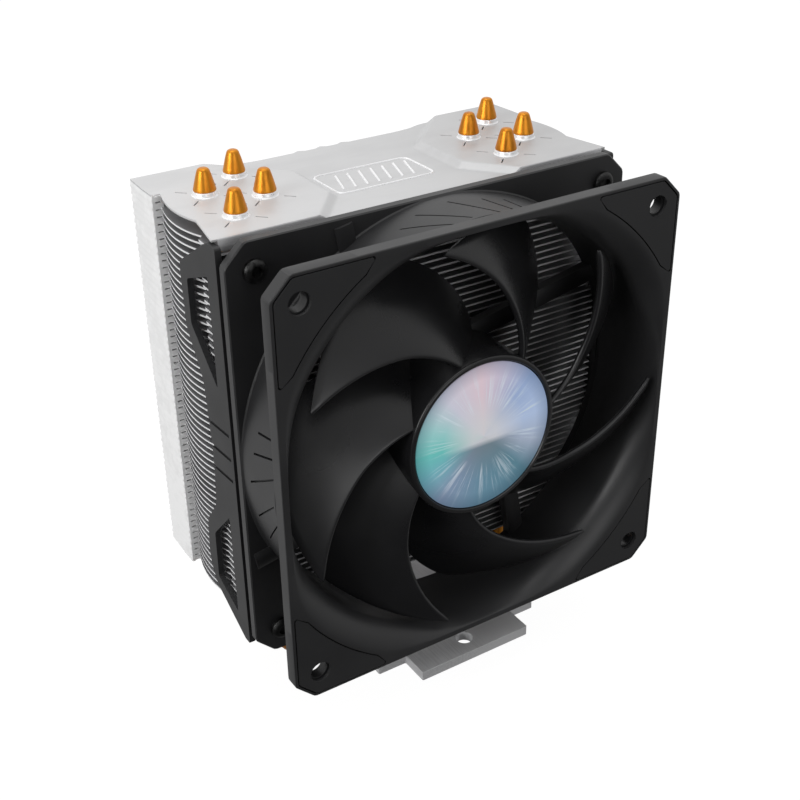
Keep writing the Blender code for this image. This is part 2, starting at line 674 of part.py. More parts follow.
def make_impeller(mat, rotor):
    bm = bmesh.new()
    inner = HUB_R - HUB_WALL
    floor = HUB_FRONT + 0.9 * MM
    turned(bm, [(HUB_R, HUB_FRONT + 0.8 * MM), (HUB_R, HUB_BACK), (inner, HUB_BACK),
                (inner, floor + 1.6 * MM), (4.2 * MM, floor + 1.6 * MM), (4.2 * MM, 6.9 * MM),
                (SHAFT_R + GAP, 6.9 * MM), (SHAFT_R + GAP, floor + 1.2 * MM), (0.4 * MM, floor + 1.2 * MM),
                (0.4 * MM, floor), (BADGE_R + GAP, floor), (BADGE_R + GAP, HUB_FRONT),
                (HUB_R - 0.8 * MM, HUB_FRONT)])
    hub = add_object("impeller", bm, mat, smooth=True)
    hub.parent = rotor
    blades = bmesh.new()
    for k in range(BLADES):
        add_blade(blades, BLADE_TIP_ANGLE + 2 * pi * k / BLADES)
    return boolean(hub, "UNION", "impeller_blades", blades)


def make_rotor_parts(badge_mat, steel_mat, magnet_mat, rotor):
    bm = bmesh.new()
    low = HUB_FRONT + 0.1 * MM
    loft(bm, [[(x, depth, z) for x, z in circle(BADGE_R, TURN_SIDES)] for depth in (low, low + 0.5 * MM)])
    add_object("hub_badge", bm, badge_mat).parent = rotor

    outer = HUB_R - HUB_WALL - GAP
    bm = bmesh.new()
    turned(bm, [(outer, 4.9 * MM), (outer, 19.6 * MM), (outer - 1.3 * MM, 19.6 * MM),
                (outer - 1.3 * MM, 6.0 * MM), (5.0 * MM, 6.0 * MM), (5.0 * MM, 4.9 * MM)], INNER_SIDES)
    add_object("rotor_yoke", bm, steel_mat, smooth=True).parent = rotor

    outer = outer - 1.3 * MM - GAP
    bm = bmesh.new()
    turned(bm, [(outer, 8 * MM), (outer, 19 * MM), (outer - 1.9 * MM, 19 * MM),
                (outer - 1.9 * MM, 8 * MM)], INNER_SIDES)
    add_object("magnet_ring", bm, magnet_mat, smooth=True).parent = rotor

    bm = bmesh.new()
    start = HUB_FRONT + 0.9 * MM + 1.2 * MM + GAP
    loft(bm, [[(x, depth, z) for x, z in circle(SHAFT_R, 24)] for depth in (start, 22.3 * MM)])
    add_object("motor_shaft", bm, steel_mat, smooth=True).parent = rotor


# ---------------------------------------------------------------- assembly
def main():
    drop_default_objects()
    aluminium = material("fin_aluminium", (0.80, 0.80, 0.81), 0.32, 1.0)
    machined = material("machined_aluminium", (0.66, 0.66, 0.67), 0.38, 1.0)
    copper = material("copper", (0.83, 0.36, 0.10), 0.22, 1.0)
    plate_steel = material("plate_steel", (0.30, 0.30, 0.30), 0.45, 0.8)
    zinc = material("zinc_steel", (0.62, 0.62, 0.64), 0.35, 1.0)
    frame_plastic = material("frame_plastic", (0.022, 0.022, 0.024), 0.42)
    blade_plastic = material("blade_plastic", (0.016, 0.016, 0.018), 0.30)
    bracket_plastic = material("bracket_plastic", (0.045, 0.045, 0.047), 0.5)
    rubber = material("rubber", (0.018, 0.018, 0.019), 0.7)
    black_steel = material("black_steel", (0.03, 0.03, 0.03), 0.4, 0.6)
    badge = material("badge_film", (0.45, 0.62, 0.72), 0.25, 0.4)
    bronze = material("bronze", (0.66, 0.48, 0.25), 0.35, 1.0)
    laminations = material("lamination_steel", (0.38, 0.38, 0.40), 0.5, 1.0)
    winding = material("enamelled_copper", (0.60, 0.25, 0.08), 0.35, 0.9)
    board = material("board_green", (0.02, 0.16, 0.07), 0.5)
    magnet = material("ferrite", (0.07, 0.065, 0.06), 0.8)
    lead = material("lead_jacket", (0.02, 0.02, 0.02), 0.5)

    make_base_block(machined)
    make_mounting_plate(plate_steel)
    make_plate_screws(zinc)
    for index in range(4):
        make_heat_pipe(index, copper)
    make_fin_stack(aluminium)
    make_top_fin(aluminium)

    fan = empty("fan_unit", (0.0, FAN_FRONT, FAN_AXIS_Z))
    rotor = empty("rotor", (0.0, 0.0, 0.0))
    rotor.parent = fan
    make_fan_frame(frame_plastic, fan)
    make_pads(rubber, fan)
    for side in (-1, 1):
        make_bracket(side, bracket_plastic, fan)
    make_bracket_screws(black_steel, fan)
    make_bearing_bush(bronze, fan)
    make_stator(laminations, winding, fan)
    make_circuit_board(board, fan)
    make_lead(lead, lead, fan)
    make_impeller(blade_plastic, rotor)
    make_rotor_parts(badge, zinc, magnet, rotor)


main()
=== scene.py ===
import random
from math import atan2, cos, pi, radians, sin, sqrt

import bmesh
import bpy
import numpy as np
from mathutils import Matrix, Vector


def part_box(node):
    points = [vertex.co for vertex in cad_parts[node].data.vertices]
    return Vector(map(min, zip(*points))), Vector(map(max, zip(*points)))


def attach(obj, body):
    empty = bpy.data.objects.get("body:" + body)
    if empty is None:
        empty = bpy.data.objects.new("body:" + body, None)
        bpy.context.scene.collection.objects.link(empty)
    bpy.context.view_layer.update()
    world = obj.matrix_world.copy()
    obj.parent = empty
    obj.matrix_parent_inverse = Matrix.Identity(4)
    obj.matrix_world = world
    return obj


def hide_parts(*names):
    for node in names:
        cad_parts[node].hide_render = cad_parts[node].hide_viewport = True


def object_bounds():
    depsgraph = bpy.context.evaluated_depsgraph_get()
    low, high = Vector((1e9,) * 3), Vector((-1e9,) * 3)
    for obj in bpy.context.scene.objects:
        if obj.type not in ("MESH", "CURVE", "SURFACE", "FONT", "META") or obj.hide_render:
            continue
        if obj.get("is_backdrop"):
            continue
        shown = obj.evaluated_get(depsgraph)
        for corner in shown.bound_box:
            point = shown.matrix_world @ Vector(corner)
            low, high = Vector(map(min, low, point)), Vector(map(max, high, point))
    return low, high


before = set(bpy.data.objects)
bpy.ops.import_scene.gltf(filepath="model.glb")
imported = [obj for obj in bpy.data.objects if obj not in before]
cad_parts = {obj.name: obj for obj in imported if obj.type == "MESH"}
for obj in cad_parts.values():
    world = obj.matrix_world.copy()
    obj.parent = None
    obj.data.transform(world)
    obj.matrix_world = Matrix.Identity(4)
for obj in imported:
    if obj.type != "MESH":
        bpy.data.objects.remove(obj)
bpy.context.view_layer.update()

MM = 0.001

# ---- measures taken from the frame
fan_low, fan_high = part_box("fan_frame")
FAN_AXIS = Vector(((fan_low.x + fan_high.x) / 2, 0, (fan_low.z + fan_high.z) / 2))
FAN_FRONT = fan_low.y
FAN_DEPTH = fan_high.y - fan_low.y
FAN_HALF = (fan_high.x - fan_low.x) / 2

stack_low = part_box("fin_stack")[0]
top_low, top_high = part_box("top_fin")
plate_low, plate_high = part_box("mounting_plate")
block_low, block_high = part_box("base_block")
badge_low, badge_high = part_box("hub_badge")

COLLAR_RISE = 1.2 * MM
PLATFORM_RISE = 1.5 * MM
PLATFORM_Z = top_high.z - COLLAR_RISE
SHEET_Z = PLATFORM_Z - PLATFORM_RISE      # the top fin between its two platforms
FIN_FRONT, FIN_REAR = top_low.y, top_high.y
FIN_HALF = 58.5 * MM
PIPE_R = 3.0 * MM

PIPES = []                                # (row y, left leg x, right leg x)
for index in range(1, 5):
    low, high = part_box(f"heat_pipe_{index}")
    PIPES.append(((low.y + high.y) / 2, low.x + PIPE_R, high.x - PIPE_R))
LEGS = [(x, y) for y, left, right in PIPES for x in (left, right)]
PIPE_TIP_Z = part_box("heat_pipe_1")[1].z

FIN_COUNT = 57
FIN_SHEET = 0.5 * MM
FIN_PITCH = (SHEET_Z - FIN_SHEET - stack_low.z) / (FIN_COUNT - 1)
TAB_FACE = 11.2 * MM                      # the fins' sides step out here, and their tabs lock
TAB_SIDE = 11.6 * MM


# ---- mesh helpers
def outward_mesh(mesh):
    """Turns the faces of closed shells outwards."""
    bm = bmesh.new()
    bm.from_mesh(mesh)
    bmesh.ops.recalc_face_normals(bm, faces=bm.faces)
    bm.to_mesh(mesh)
    bm.free()
    return mesh


def smooth(mesh, angle):
    """Smooth shading, with edges sharper than the angle in degrees kept crisp."""
    mesh.shade_smooth()
    mesh.set_sharp_from_angle(angle=radians(angle))


def new_object(name, data):
    obj = bpy.data.objects.new(name, data)
    bpy.context.scene.collection.objects.link(obj)
    return obj


def new_piece(name, verts, faces, mat, smooth_angle=30, bevel=0.0):
    mesh = bpy.data.meshes.new(name)
    mesh.from_pydata([tuple(v) for v in verts], [], faces)
    return piece_from_mesh(name, mesh, mat, smooth_angle, bevel)


def piece_from_mesh(name, mesh, mat, smooth_angle=30, bevel=0.0):
    mesh.validate()
    mesh.update()
    obj = new_object(name, mesh)
    mesh.materials.append(mat)
    if bevel:
        add_bevel(obj, bevel)
    if smooth_angle:
        smooth(mesh, smooth_angle)
    return obj


def add_bevel(obj, width, angle=35):
    step = obj.modifiers.new("edge_rounding", "BEVEL")
    step.width = width
    step.segments = 2
    step.limit_method = "ANGLE"
    step.angle_limit = radians(angle)
    step.harden_normals = True
    step.use_clamp_overlap = True


def cut(obj, operation, name, solid):
    """Applies a Boolean with a throwaway solid."""
    tool = new_object(name, solid.mesh(name))
    step = obj.modifiers.new(name, "BOOLEAN")
    step.operation = operation
    step.solver = "EXACT"
    step.object = tool
    graph = bpy.context.evaluated_depsgraph_get()
    made = bpy.data.meshes.new_from_object(obj.evaluated_get(graph))
    obj.modifiers.clear()
    obj.data = made
    bpy.data.objects.remove(tool, do_unlink=True)


def settle(obj, body, slot, *nodes):
    """Puts a piece on its body, in place of the CAD nodes it stands for; slot is not used."""
    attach(obj, body)
    if nodes:
        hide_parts(*nodes)


class Solid:
    """Collects vertices and faces of several closed shells."""

    def __init__(self):
        self.verts, self.faces = [], []

    def add(self, verts, faces):
        base = len(self.verts)
        self.verts += [Vector(v) for v in verts]
        self.faces += [tuple(base + i for i in f) for f in faces]

    def loft(self, rings, closed=False):
        base = len(self.verts)
        count, rows = len(rings[0]), len(rings)
        for ring in rings:
            self.verts += [Vector(p) for p in ring]
        for r in range(rows if closed else rows - 1):
            a, b = base + r * count, base + ((r + 1) % rows) * count
            for i in range(count):
                j = (i + 1) % count
                self.faces.append((a + i, a + j, b + j, b + i))
        if not closed:
            self.faces.append(tuple(range(base + count - 1, base - 1, -1)))
            self.faces.append(tuple(range(base + (rows - 1) * count, base + rows * count)))
        return self

    def prism(self, outline, axis, low, high):
        def place(point, level):
            u, v = point
            return {"X": (level, u, v), "Y": (u, level, v), "Z": (u, v, level)}[axis]
        return self.loft([[place(p, low) for p in outline], [place(p, high) for p in outline]])

    def piece(self, name, mat, **kw):
        return piece_from_mesh(name, self.mesh(name), mat, **kw)

    def mesh(self, name):
        mesh = bpy.data.meshes.new(name)
        mesh.from_pydata([tuple(v) for v in self.verts], [], self.faces)
        return outward_mesh(mesh)


def circle(radius, sides, centre=(0.0, 0.0)):
    return [(centre[0] + radius * cos(2 * pi * i / sides),
             centre[1] + radius * sin(2 * pi * i / sides)) for i in range(sides)]


def arc(radius, start, end, steps, centre=(0.0, 0.0)):
    return [(centre[0] + radius * cos(start + (end - start) * i / steps),
             centre[1] + radius * sin(start + (end - start) * i / steps))
            for i in range(steps + 1)]


def scaled(points):
    """Points in metres from points in millimetres."""
    return [tuple(value * MM for value in point) for point in points]


def rounded(points, radius, steps=4):
    """Rounds every corner of a closed outline; radius may be one value or one for each corner."""
    made = []
    count = len(points)
    for i, here in enumerate(points):
        r = radius[i] if isinstance(radius, (list, tuple)) else radius
        p = Vector(here)
        before, after = Vector(points[i - 1]) - p, Vector(points[(i + 1) % count]) - p
        reach = min(r, before.length * 0.49, after.length * 0.49)
        a, b = p + before.normalized() * reach, p + after.normalized() * reach
        for k in range(steps + 1):
            t = k / steps
            q = a * (1 - t) ** 2 + p * 2 * t * (1 - t) + b * t ** 2
            made.append((q.x, q.y))
    return made


def flat_fill(outline, holes):
    """Triangulates a 2-D outline with holes; returns points, triangles and the boundary loops."""
    bm = bmesh.new()
    loops = []
    for ring in [outline] + holes:
        verts = [bm.verts.new((x, y, 0)) for x, y in ring]
        for i, v in enumerate(verts):
            bm.edges.new((v, verts[(i + 1) % len(verts)]))
        loops.append(verts)
    bmesh.ops.triangle_fill(bm, use_beauty=True, use_dissolve=False, edges=bm.edges[:])
    bm.verts.index_update()
    points = [(v.co.x, v.co.y) for v in bm.verts]
    tris = [tuple(v.index for v in f.verts) for f in bm.faces]
    rings = [[v.index for v in loop] for loop in loops]
    bm.free()
    return points, tris, rings


def sheet(points, tris, rings, low, high):
    """A flat sheet from a filled outline; low and high are heights or functions of (x, y)."""
    bottom = low if callable(low) else (lambda x, y: low)
    top = high if callable(high) else (lambda x, y: high)
    count = len(points)
    verts = [(x, y, top(x, y)) for x, y in points] + [(x, y, bottom(x, y)) for x, y in points]
    faces = tris + [tuple(count + i for i in t[::-1]) for t in tris]
    for ring in rings:
        for i, a in enumerate(ring):
            b = ring[(i + 1) % len(ring)]
            faces.append((a, b, count + b, count + a))
    return verts, faces


def slab_faces(rows, row):
    """Faces of a slab made of a front and a back grid, and of the rim that joins them."""
    count = rows * row
    faces = []
    for j in range(rows - 1):
        for i in range(row - 1):
            a = j * row + i
            faces.append((a, a + 1, a + row + 1, a + row))
            faces.append((count + a, count + a + row, count + a + row + 1, count + a + 1))
    last = (rows - 1) * row
    rim = list(range(row - 1)) + [j * row + row - 1 for j in range(rows - 1)]
    rim += [last + i for i in range(row - 1, 0, -1)] + [j * row for j in range(rows - 1, 0, -1)]
    for k, a in enumerate(rim):
        b = rim[(k + 1) % len(rim)]
        faces.append((a, count + a, count + b, b))
    return faces


def turned(profile, sides):
    """Rings of a closed (radius, depth) profile turned about the fan's axis."""
    turns = [2 * pi * i / sides for i in range(sides)]
    return [[(FAN_AXIS.x + r * cos(a), FAN_FRONT + d, FAN_AXIS.z + r * sin(a)) for r, d in profile]
            for a in turns]


# ---- materials
def new_material(name, colour, roughness, metallic=0.0, specular=0.5):
    mat = bpy.data.materials.new(name)
    mat.use_nodes = True
    shader = mat.node_tree.nodes["Principled BSDF"]
    shader.inputs["Base Color"].default_value = (*colour, 1)
    shader.inputs["Roughness"].default_value = roughness
    shader.inputs["Metallic"].default_value = metallic
    shader.inputs["Specular IOR Level"].default_value = specular
    return mat, mat.node_tree, shader


def mapped(tree, scale=(1, 1, 1), shift=(0, 0, 0)):
    """Object coordinates in metres, stretched by a scale for each axis and then moved."""
    coords = tree.nodes.new("ShaderNodeTexCoord")
    mapping = tree.nodes.new("ShaderNodeMapping")
    mapping.inputs["Scale"].default_value = scale
    mapping.inputs["Location"].default_value = shift
    tree.links.new(coords.outputs["Object"], mapping.inputs["Vector"])
    return mapping.outputs["Vector"]


def axes(tree, vector):
    split = tree.nodes.new("ShaderNodeSeparateXYZ")
    tree.links.new(vector, split.inputs[0])
    return split.outputs


def maths(tree, operation, *values):
    """A Math node fed with numbers or sockets."""
    made = tree.nodes.new("ShaderNodeMath")
    made.operation = operation
    for socket, value in zip(made.inputs, values):
        if isinstance(value, (int, float)):
            socket.default_value = value
        else:
            tree.links.new(value, socket)
    return made.outputs[0]


def noise(tree, vector, scale=1.0, detail=3.0, rough=0.5):
    made = tree.nodes.new("ShaderNodeTexNoise")
    made.inputs["Scale"].default_value = scale
    made.inputs["Detail"].default_value = detail
    made.inputs["Roughness"].default_value = rough
    tree.links.new(vector, made.inputs["Vector"])
    return made.outputs["Fac"]


def ramp(tree, value, low, high, span=(0.3, 0.7)):
    """Maps the span of a value to a range of numbers."""
    made = tree.nodes.new("ShaderNodeMapRange")
    made.inputs["From Min"].default_value, made.inputs["From Max"].default_value = span
    made.inputs["To Min"].default_value, made.inputs["To Max"].default_value = low, high
    tree.links.new(value, made.inputs["Value"])
    return made.outputs["Result"]


def colours(tree, value, stops):
    """Maps a value to colours, given as (position, colour)."""
    made = tree.nodes.new("ShaderNodeValToRGB")
    elements = made.color_ramp.elements
    for element, (position, colour) in zip(elements, (stops[0], stops[-1])):
        element.position, element.color = position, (*colour, 1)
    for position, colour in stops[1:-1]:
        elements.new(position).color = (*colour, 1)
    tree.links.new(value, made.inputs["Fac"])
    return made.outputs["Color"]


def bump(tree, shader, height, strength, distance):
    made = tree.nodes.new("ShaderNodeBump")
    made.inputs["Strength"].default_value = strength
    made.inputs["Distance"].default_value = distance
    tree.links.new(height, made.inputs["Height"])
    tree.links.new(made.outputs["Normal"], shader.inputs["Normal"])


def plastic(name, dark, light, roughness, grain=9000, depth=0.00002, specular=0.3):
    """Moulded plastic: fine spark-eroded grain, with slow changes in tone and gloss."""
    mat, tree, shader = new_material(name, dark, roughness, 0.0, specular)
    slow = noise(tree, mapped(tree, (45, 45, 45)), 1, 3)
    tree.links.new(colours(tree, slow, ((0.3, dark), (0.7, light))), shader.inputs["Base Color"])
    tree.links.new(ramp(tree, slow, roughness - 0.06, roughness + 0.06), shader.inputs["Roughness"])
    bump(tree, shader, noise(tree, mapped(tree, (grain,) * 3), 1, 2), 0.5, depth)
    return mat


def rolled_metal(name, dark, light, roughness, streaks, depth=0.00001, whole=1.0):
    """Rolled or brushed metal: streaks along one axis, and a slow change in tone.

    whole is how metallic it is; less than 1 gives the chalky look of thin pressed sheet."""
    mat, tree, shader = new_material(name, light, roughness, whole)
    lines = noise(tree, mapped(tree, streaks), 1, 4, 0.6)
    slow = noise(tree, mapped(tree, (30, 30, 30)), 1, 2)
    tone = colours(tree, maths(tree, "ADD", lines, slow), ((0.8, dark), (1.0, light)))
    tree.links.new(tone, shader.inputs["Base Color"])
    tree.links.new(ramp(tree, lines, roughness - 0.08, roughness + 0.1), shader.inputs["Roughness"])
    bump(tree, shader, lines, 0.35, depth)
    return mat


def from_srgb(red, green, blue):
    """Linear colour of a screen colour given as 0 to 255."""
    made = []
    for value in (red, green, blue):
        share = value / 255
        made.append(share / 12.92 if share <= 0.04045 else ((share + 0.055) / 1.055) ** 2.4)
    return tuple(made)


# Hues round the hub's film: share of a turn from the left by way of the bottom, and the colour
FILM_HUES = ((0.0, (104, 190, 184)), (0.06, (112, 172, 184)), (0.13, (128, 146, 172)),
             (0.25, (98, 136, 156)), (0.37, (88, 128, 144)), (0.44, (160, 172, 192)),
             (0.52, (172, 190, 220)), (0.62, (150, 170, 206)), (0.70, (192, 186, 206)),
             (0.76, (216, 196, 206)), (0.86, (200, 200, 214)), (0.94, (150, 200, 200)),
             (1.0, (104, 190, 184)))
FILM_LOWER, FILM_UPPER = (112, 127, 137), (206, 206, 210)     # near the middle of the film
FILM_RAY = (214, 224, 232)
FILM_R = 21 * MM


def make_badge_material():
    """Iridescent film: pastel hues that turn with the angle, a pale upper middle, and fine rays; the colour
    also glows as painted light.
    """
    mat, tree, shader = new_material("badge_film", (0.5, 0.65, 0.75), 0.35, 0.0, 0.3)

    def blend(share, a, b, kind="MIX"):
        made = tree.nodes.new("ShaderNodeMix")
        made.data_type = "RGBA"
        made.blend_type = kind
        for socket, value in zip(("Factor", "A", "B"), (share, a, b)):
            if isinstance(value, (tuple, float)):
                made.inputs[socket].default_value = value
            else:
                tree.links.new(value, made.inputs[socket])
        return made.outputs["Result"]

    place = axes(tree, mapped(tree, shift=(-FAN_AXIS.x, 0, -FAN_AXIS.z)))
    x, z = place["X"], place["Z"]
    angle = maths(tree, "ARCTAN2", z, x)
    squares = maths(tree, "ADD", maths(tree, "POWER", x, 2.0), maths(tree, "POWER", z, 2.0))
    share = maths(tree, "DIVIDE", maths(tree, "SQRT", squares), FILM_R)

    turn = maths(tree, "ADD", maths(tree, "DIVIDE", angle, 2 * pi), 0.5)
    hues = colours(tree, turn, [(position, from_srgb(*hue)) for position, hue in FILM_HUES])
    height = maths(tree, "MULTIPLY_ADD", z, 60.0, 0.62)
    middle = colours(tree, height, ((0.45, from_srgb(*FILM_LOWER)), (0.55, from_srgb(*FILM_UPPER))))
    colour = blend(ramp(tree, share, 0.85, 0.0, (0.18, 0.62)), hues, middle)

    polar = tree.nodes.new("ShaderNodeCombineXYZ")
    tree.links.new(maths(tree, "MULTIPLY", maths(tree, "COSINE", angle), 9.0), polar.inputs[0])
    tree.links.new(maths(tree, "MULTIPLY", maths(tree, "SINE", angle), 9.0), polar.inputs[1])
    tree.links.new(maths(tree, "MULTIPLY", share, 0.6), polar.inputs[2])
    rays = noise(tree, polar.outputs[0], 1.6, 4, 0.65)
    strength = ramp(tree, rays, 0.0, 0.8, (0.52, 0.74))
    rise, fall = ramp(tree, share, 0.0, 1.0, (0.36, 0.5)), ramp(tree, share, 1.0, 0.15, (0.72, 0.92))
    reach = maths(tree, "MULTIPLY", strength, maths(tree, "MULTIPLY", rise, fall))
    colour = blend(reach, colour, (*from_srgb(*FILM_RAY), 1))
    rim = colours(tree, share, ((0.8, (1, 1, 1)), (1.0, (0.62, 0.66, 0.7))))
    colour = blend(1.0, colour, rim, "MULTIPLY")
    tree.links.new(colour, shader.inputs["Base Color"])
    # Painted light: the film glows with its own colour so it stays bright under the faint front light.
    tree.links.new(colour, shader.inputs["Emission Color"])
    shader.inputs["Emission Strength"].default_value = 0.42
    shader.inputs["Coat Weight"].default_value = 0.3
    shader.inputs["Coat Roughness"].default_value = 0.12
    bump(tree, shader, rays, 0.15, 0.0001)
    return mat


def make_top_material():
    """Pressed sheet of the top fin, with painted shade: a little darker towards its right end, away from the
    left light.
    """
    mat = rolled_metal("top_fin_aluminium", (0.66, 0.66, 0.665), (0.70, 0.70, 0.705), 0.5, (60, 200, 200),
                       0.000002, 0.45)
    tree = mat.node_tree
    target = tree.nodes["Principled BSDF"].inputs["Base Color"]
    # painted shade: the sheet's colour is scaled down towards its right end
    shade = ramp(tree, axes(tree, mapped(tree))["X"], 0.96, 0.76, (-FIN_HALF, FIN_HALF))
    scale = tree.nodes.new("ShaderNodeVectorMath")
    scale.operation = "SCALE"
    tree.links.new(target.links[0].from_socket, scale.inputs[0])
    tree.links.new(shade, scale.inputs["Scale"])
    tree.links.new(scale.outputs[0], target)
    return mat


MATERIALS = {
    "frame": plastic("frame_plastic", (0.017, 0.017, 0.018), (0.023, 0.023, 0.024), 0.42, specular=0.5),
    "blade": plastic("blade_plastic", (0.010, 0.010, 0.011), (0.014, 0.014, 0.015), 0.3, 12000, 0.00001, 0.5),
    "hub": plastic("hub_plastic", (0.006, 0.006, 0.007), (0.010, 0.010, 0.011), 0.3, 12000, 0.00001),
    "bracket": plastic("bracket_plastic", (0.014, 0.014, 0.015), (0.018, 0.018, 0.019), 0.48, 7000,
                       0.00003, 0.45),
    "rubber": plastic("pad_rubber", (0.015, 0.015, 0.016), (0.020, 0.020, 0.021), 0.55, 5000, 0.00004, 0.45),
    "black_steel": rolled_metal("black_steel", (0.02, 0.02, 0.02), (0.05, 0.05, 0.05), 0.4, (900, 900, 900)),
    "fins": rolled_metal("fin_aluminium", (0.34, 0.34, 0.35), (0.42, 0.42, 0.43), 0.42, (60, 60, 60),
                         whole=0.7),
    "edges": rolled_metal("fin_cut_edges", (0.78, 0.78, 0.79), (0.86, 0.86, 0.87), 0.4, (300, 300, 300),
                          whole=0.2),
    # Painted light: the tabs get a near-white, chalky copy of the fin aluminium so their front-facing faces
    # read as brightly lit.
    "tabs": rolled_metal("fin_tabs_painted_bright", (0.87, 0.87, 0.87), (0.93, 0.93, 0.93), 0.5, (300, 300, 300), whole=0.1),
    "top": make_top_material(),
    "lip": rolled_metal("fin_lip_aluminium", (0.40, 0.40, 0.41), (0.48, 0.48, 0.49), 0.45, (60, 2500, 2500),
                        whole=0.5),
    "bright": rolled_metal("bright_aluminium", (0.86, 0.86, 0.87), (0.93, 0.93, 0.94), 0.3, (300, 300, 300),
                           0.000002, 0.5),
    "plate": rolled_metal("plate_steel", (0.58, 0.58, 0.59), (0.68, 0.68, 0.69), 0.42, (2500, 90, 2500),
                          whole=0.45),
    "block": rolled_metal("machined_aluminium", (0.60, 0.60, 0.61), (0.70, 0.70, 0.71), 0.32,
                          (90, 3500, 3500)),
    "zinc": rolled_metal("zinc_steel", (0.55, 0.55, 0.57), (0.68, 0.68, 0.70), 0.32, (1800, 1800, 1800)),
    "copper": rolled_metal("copper", (0.50, 0.17, 0.012), (0.68, 0.26, 0.02), 0.36, (1500, 1500, 120),
                           0.000004, 0.85),
    "bronze": rolled_metal("bronze", (0.50, 0.34, 0.15), (0.66, 0.48, 0.25), 0.4, (4000, 4000, 4000)),
    "laminations": rolled_metal("lamination_steel", (0.25, 0.25, 0.27), (0.42, 0.42, 0.44), 0.45,
                                (90, 9000, 90)),
    "winding": rolled_metal("enamelled_copper", (0.38, 0.12, 0.03), (0.60, 0.25, 0.08), 0.32,
                            (300, 9000, 9000)),
    "board": plastic("board_green", (0.01, 0.09, 0.04), (0.02, 0.16, 0.07), 0.4, 3000, 0.00003),
    "ferrite": plastic("ferrite", (0.05, 0.05, 0.045), (0.08, 0.075, 0.07), 0.8, 5000, 0.00003),
    "jacket": plastic("lead_jacket", (0.012, 0.012, 0.012), (0.03, 0.03, 0.03), 0.5, 2500, 0.00006),
    "badge": make_badge_material(),
}


# ---- fins
def bezier(a, b, c, steps):
    a, b, c = Vector(a), Vector(b), Vector(c)
    made = [a * (1 - t) ** 2 + b * 2 * t * (1 - t) + c * t ** 2
            for t in (k / steps for k in range(steps + 1))]
    return [(p.x, p.y) for p in made]


def fin_side():
    """Right edge of a fin, from the front to the rear: a bulge, then a step outwards at the tabs."""
    w = FIN_HALF
    side = [(w - 0.6 * MM, FIN_FRONT), (w - 0.6 * MM, -13.9 * MM)]
    side += bezier((w - 2.2 * MM, -12.3 * MM), (w + 2.1 * MM, -2.0 * MM), (w - 2.0 * MM, TAB_FACE), 14)
    return side + [(w + 0.4 * MM, TAB_SIDE), (w + 0.4 * MM, 17.0 * MM), (w, FIN_REAR)]


def fin_outline():
    """Edge of a whole fin seen from above, with three small teeth in the middle of the rear."""
    side = fin_side()
    dip = FIN_REAR - 2.2 * MM
    shoulder = (28.0 * MM, FIN_REAR - 1.4 * MM)
    side += bezier((34.5 * MM, FIN_REAR), (31.0 * MM, FIN_REAR), shoulder, 4)
    side += bezier(shoulder, (24.5 * MM, FIN_REAR - 2.3 * MM), (18.0 * MM, dip), 4)[1:]
    teeth = []
    for x in (4.5 * MM, -2.5 * MM, -9.5 * MM):
        teeth += [(x + 2.0 * MM, dip), (x, dip + 1.0 * MM), (x - 2.0 * MM, dip)]
    return side + teeth + [(-x, y) for x, y in side[::-1]]


def make_fin_stack():
    rng = random.Random(7)
    holes = [circle(PIPE_R + 0.1 * MM, 20, leg) for leg in LEGS]
    points, tris, rings = flat_fill(fin_outline(), holes)
    parts = Solid()
    for k in range(FIN_COUNT - 1):
        base = stack_low.z + k * FIN_PITCH
        tilt_x, tilt_y = rng.uniform(-1, 1) * 0.0010, rng.uniform(-1, 1) * 0.0014

        def low(x, y, base=base, tilt_x=tilt_x, tilt_y=tilt_y):
            return base + x * tilt_x + y * tilt_y

        def high(x, y, low=low):
            return low(x, y) + FIN_SHEET

        parts.add(*sheet(points, tris, rings, low, high))
    obj = parts.piece("fin_stack_full", MATERIALS["fins"], smooth_angle=30)
    obj.data.materials.append(MATERIALS["edges"])
    for face in obj.data.polygons:
        face.material_index = 1 if abs(face.normal.z) < 0.5 else 0
    settle(obj, "heatsink", "fin_aluminium", "fin_stack")


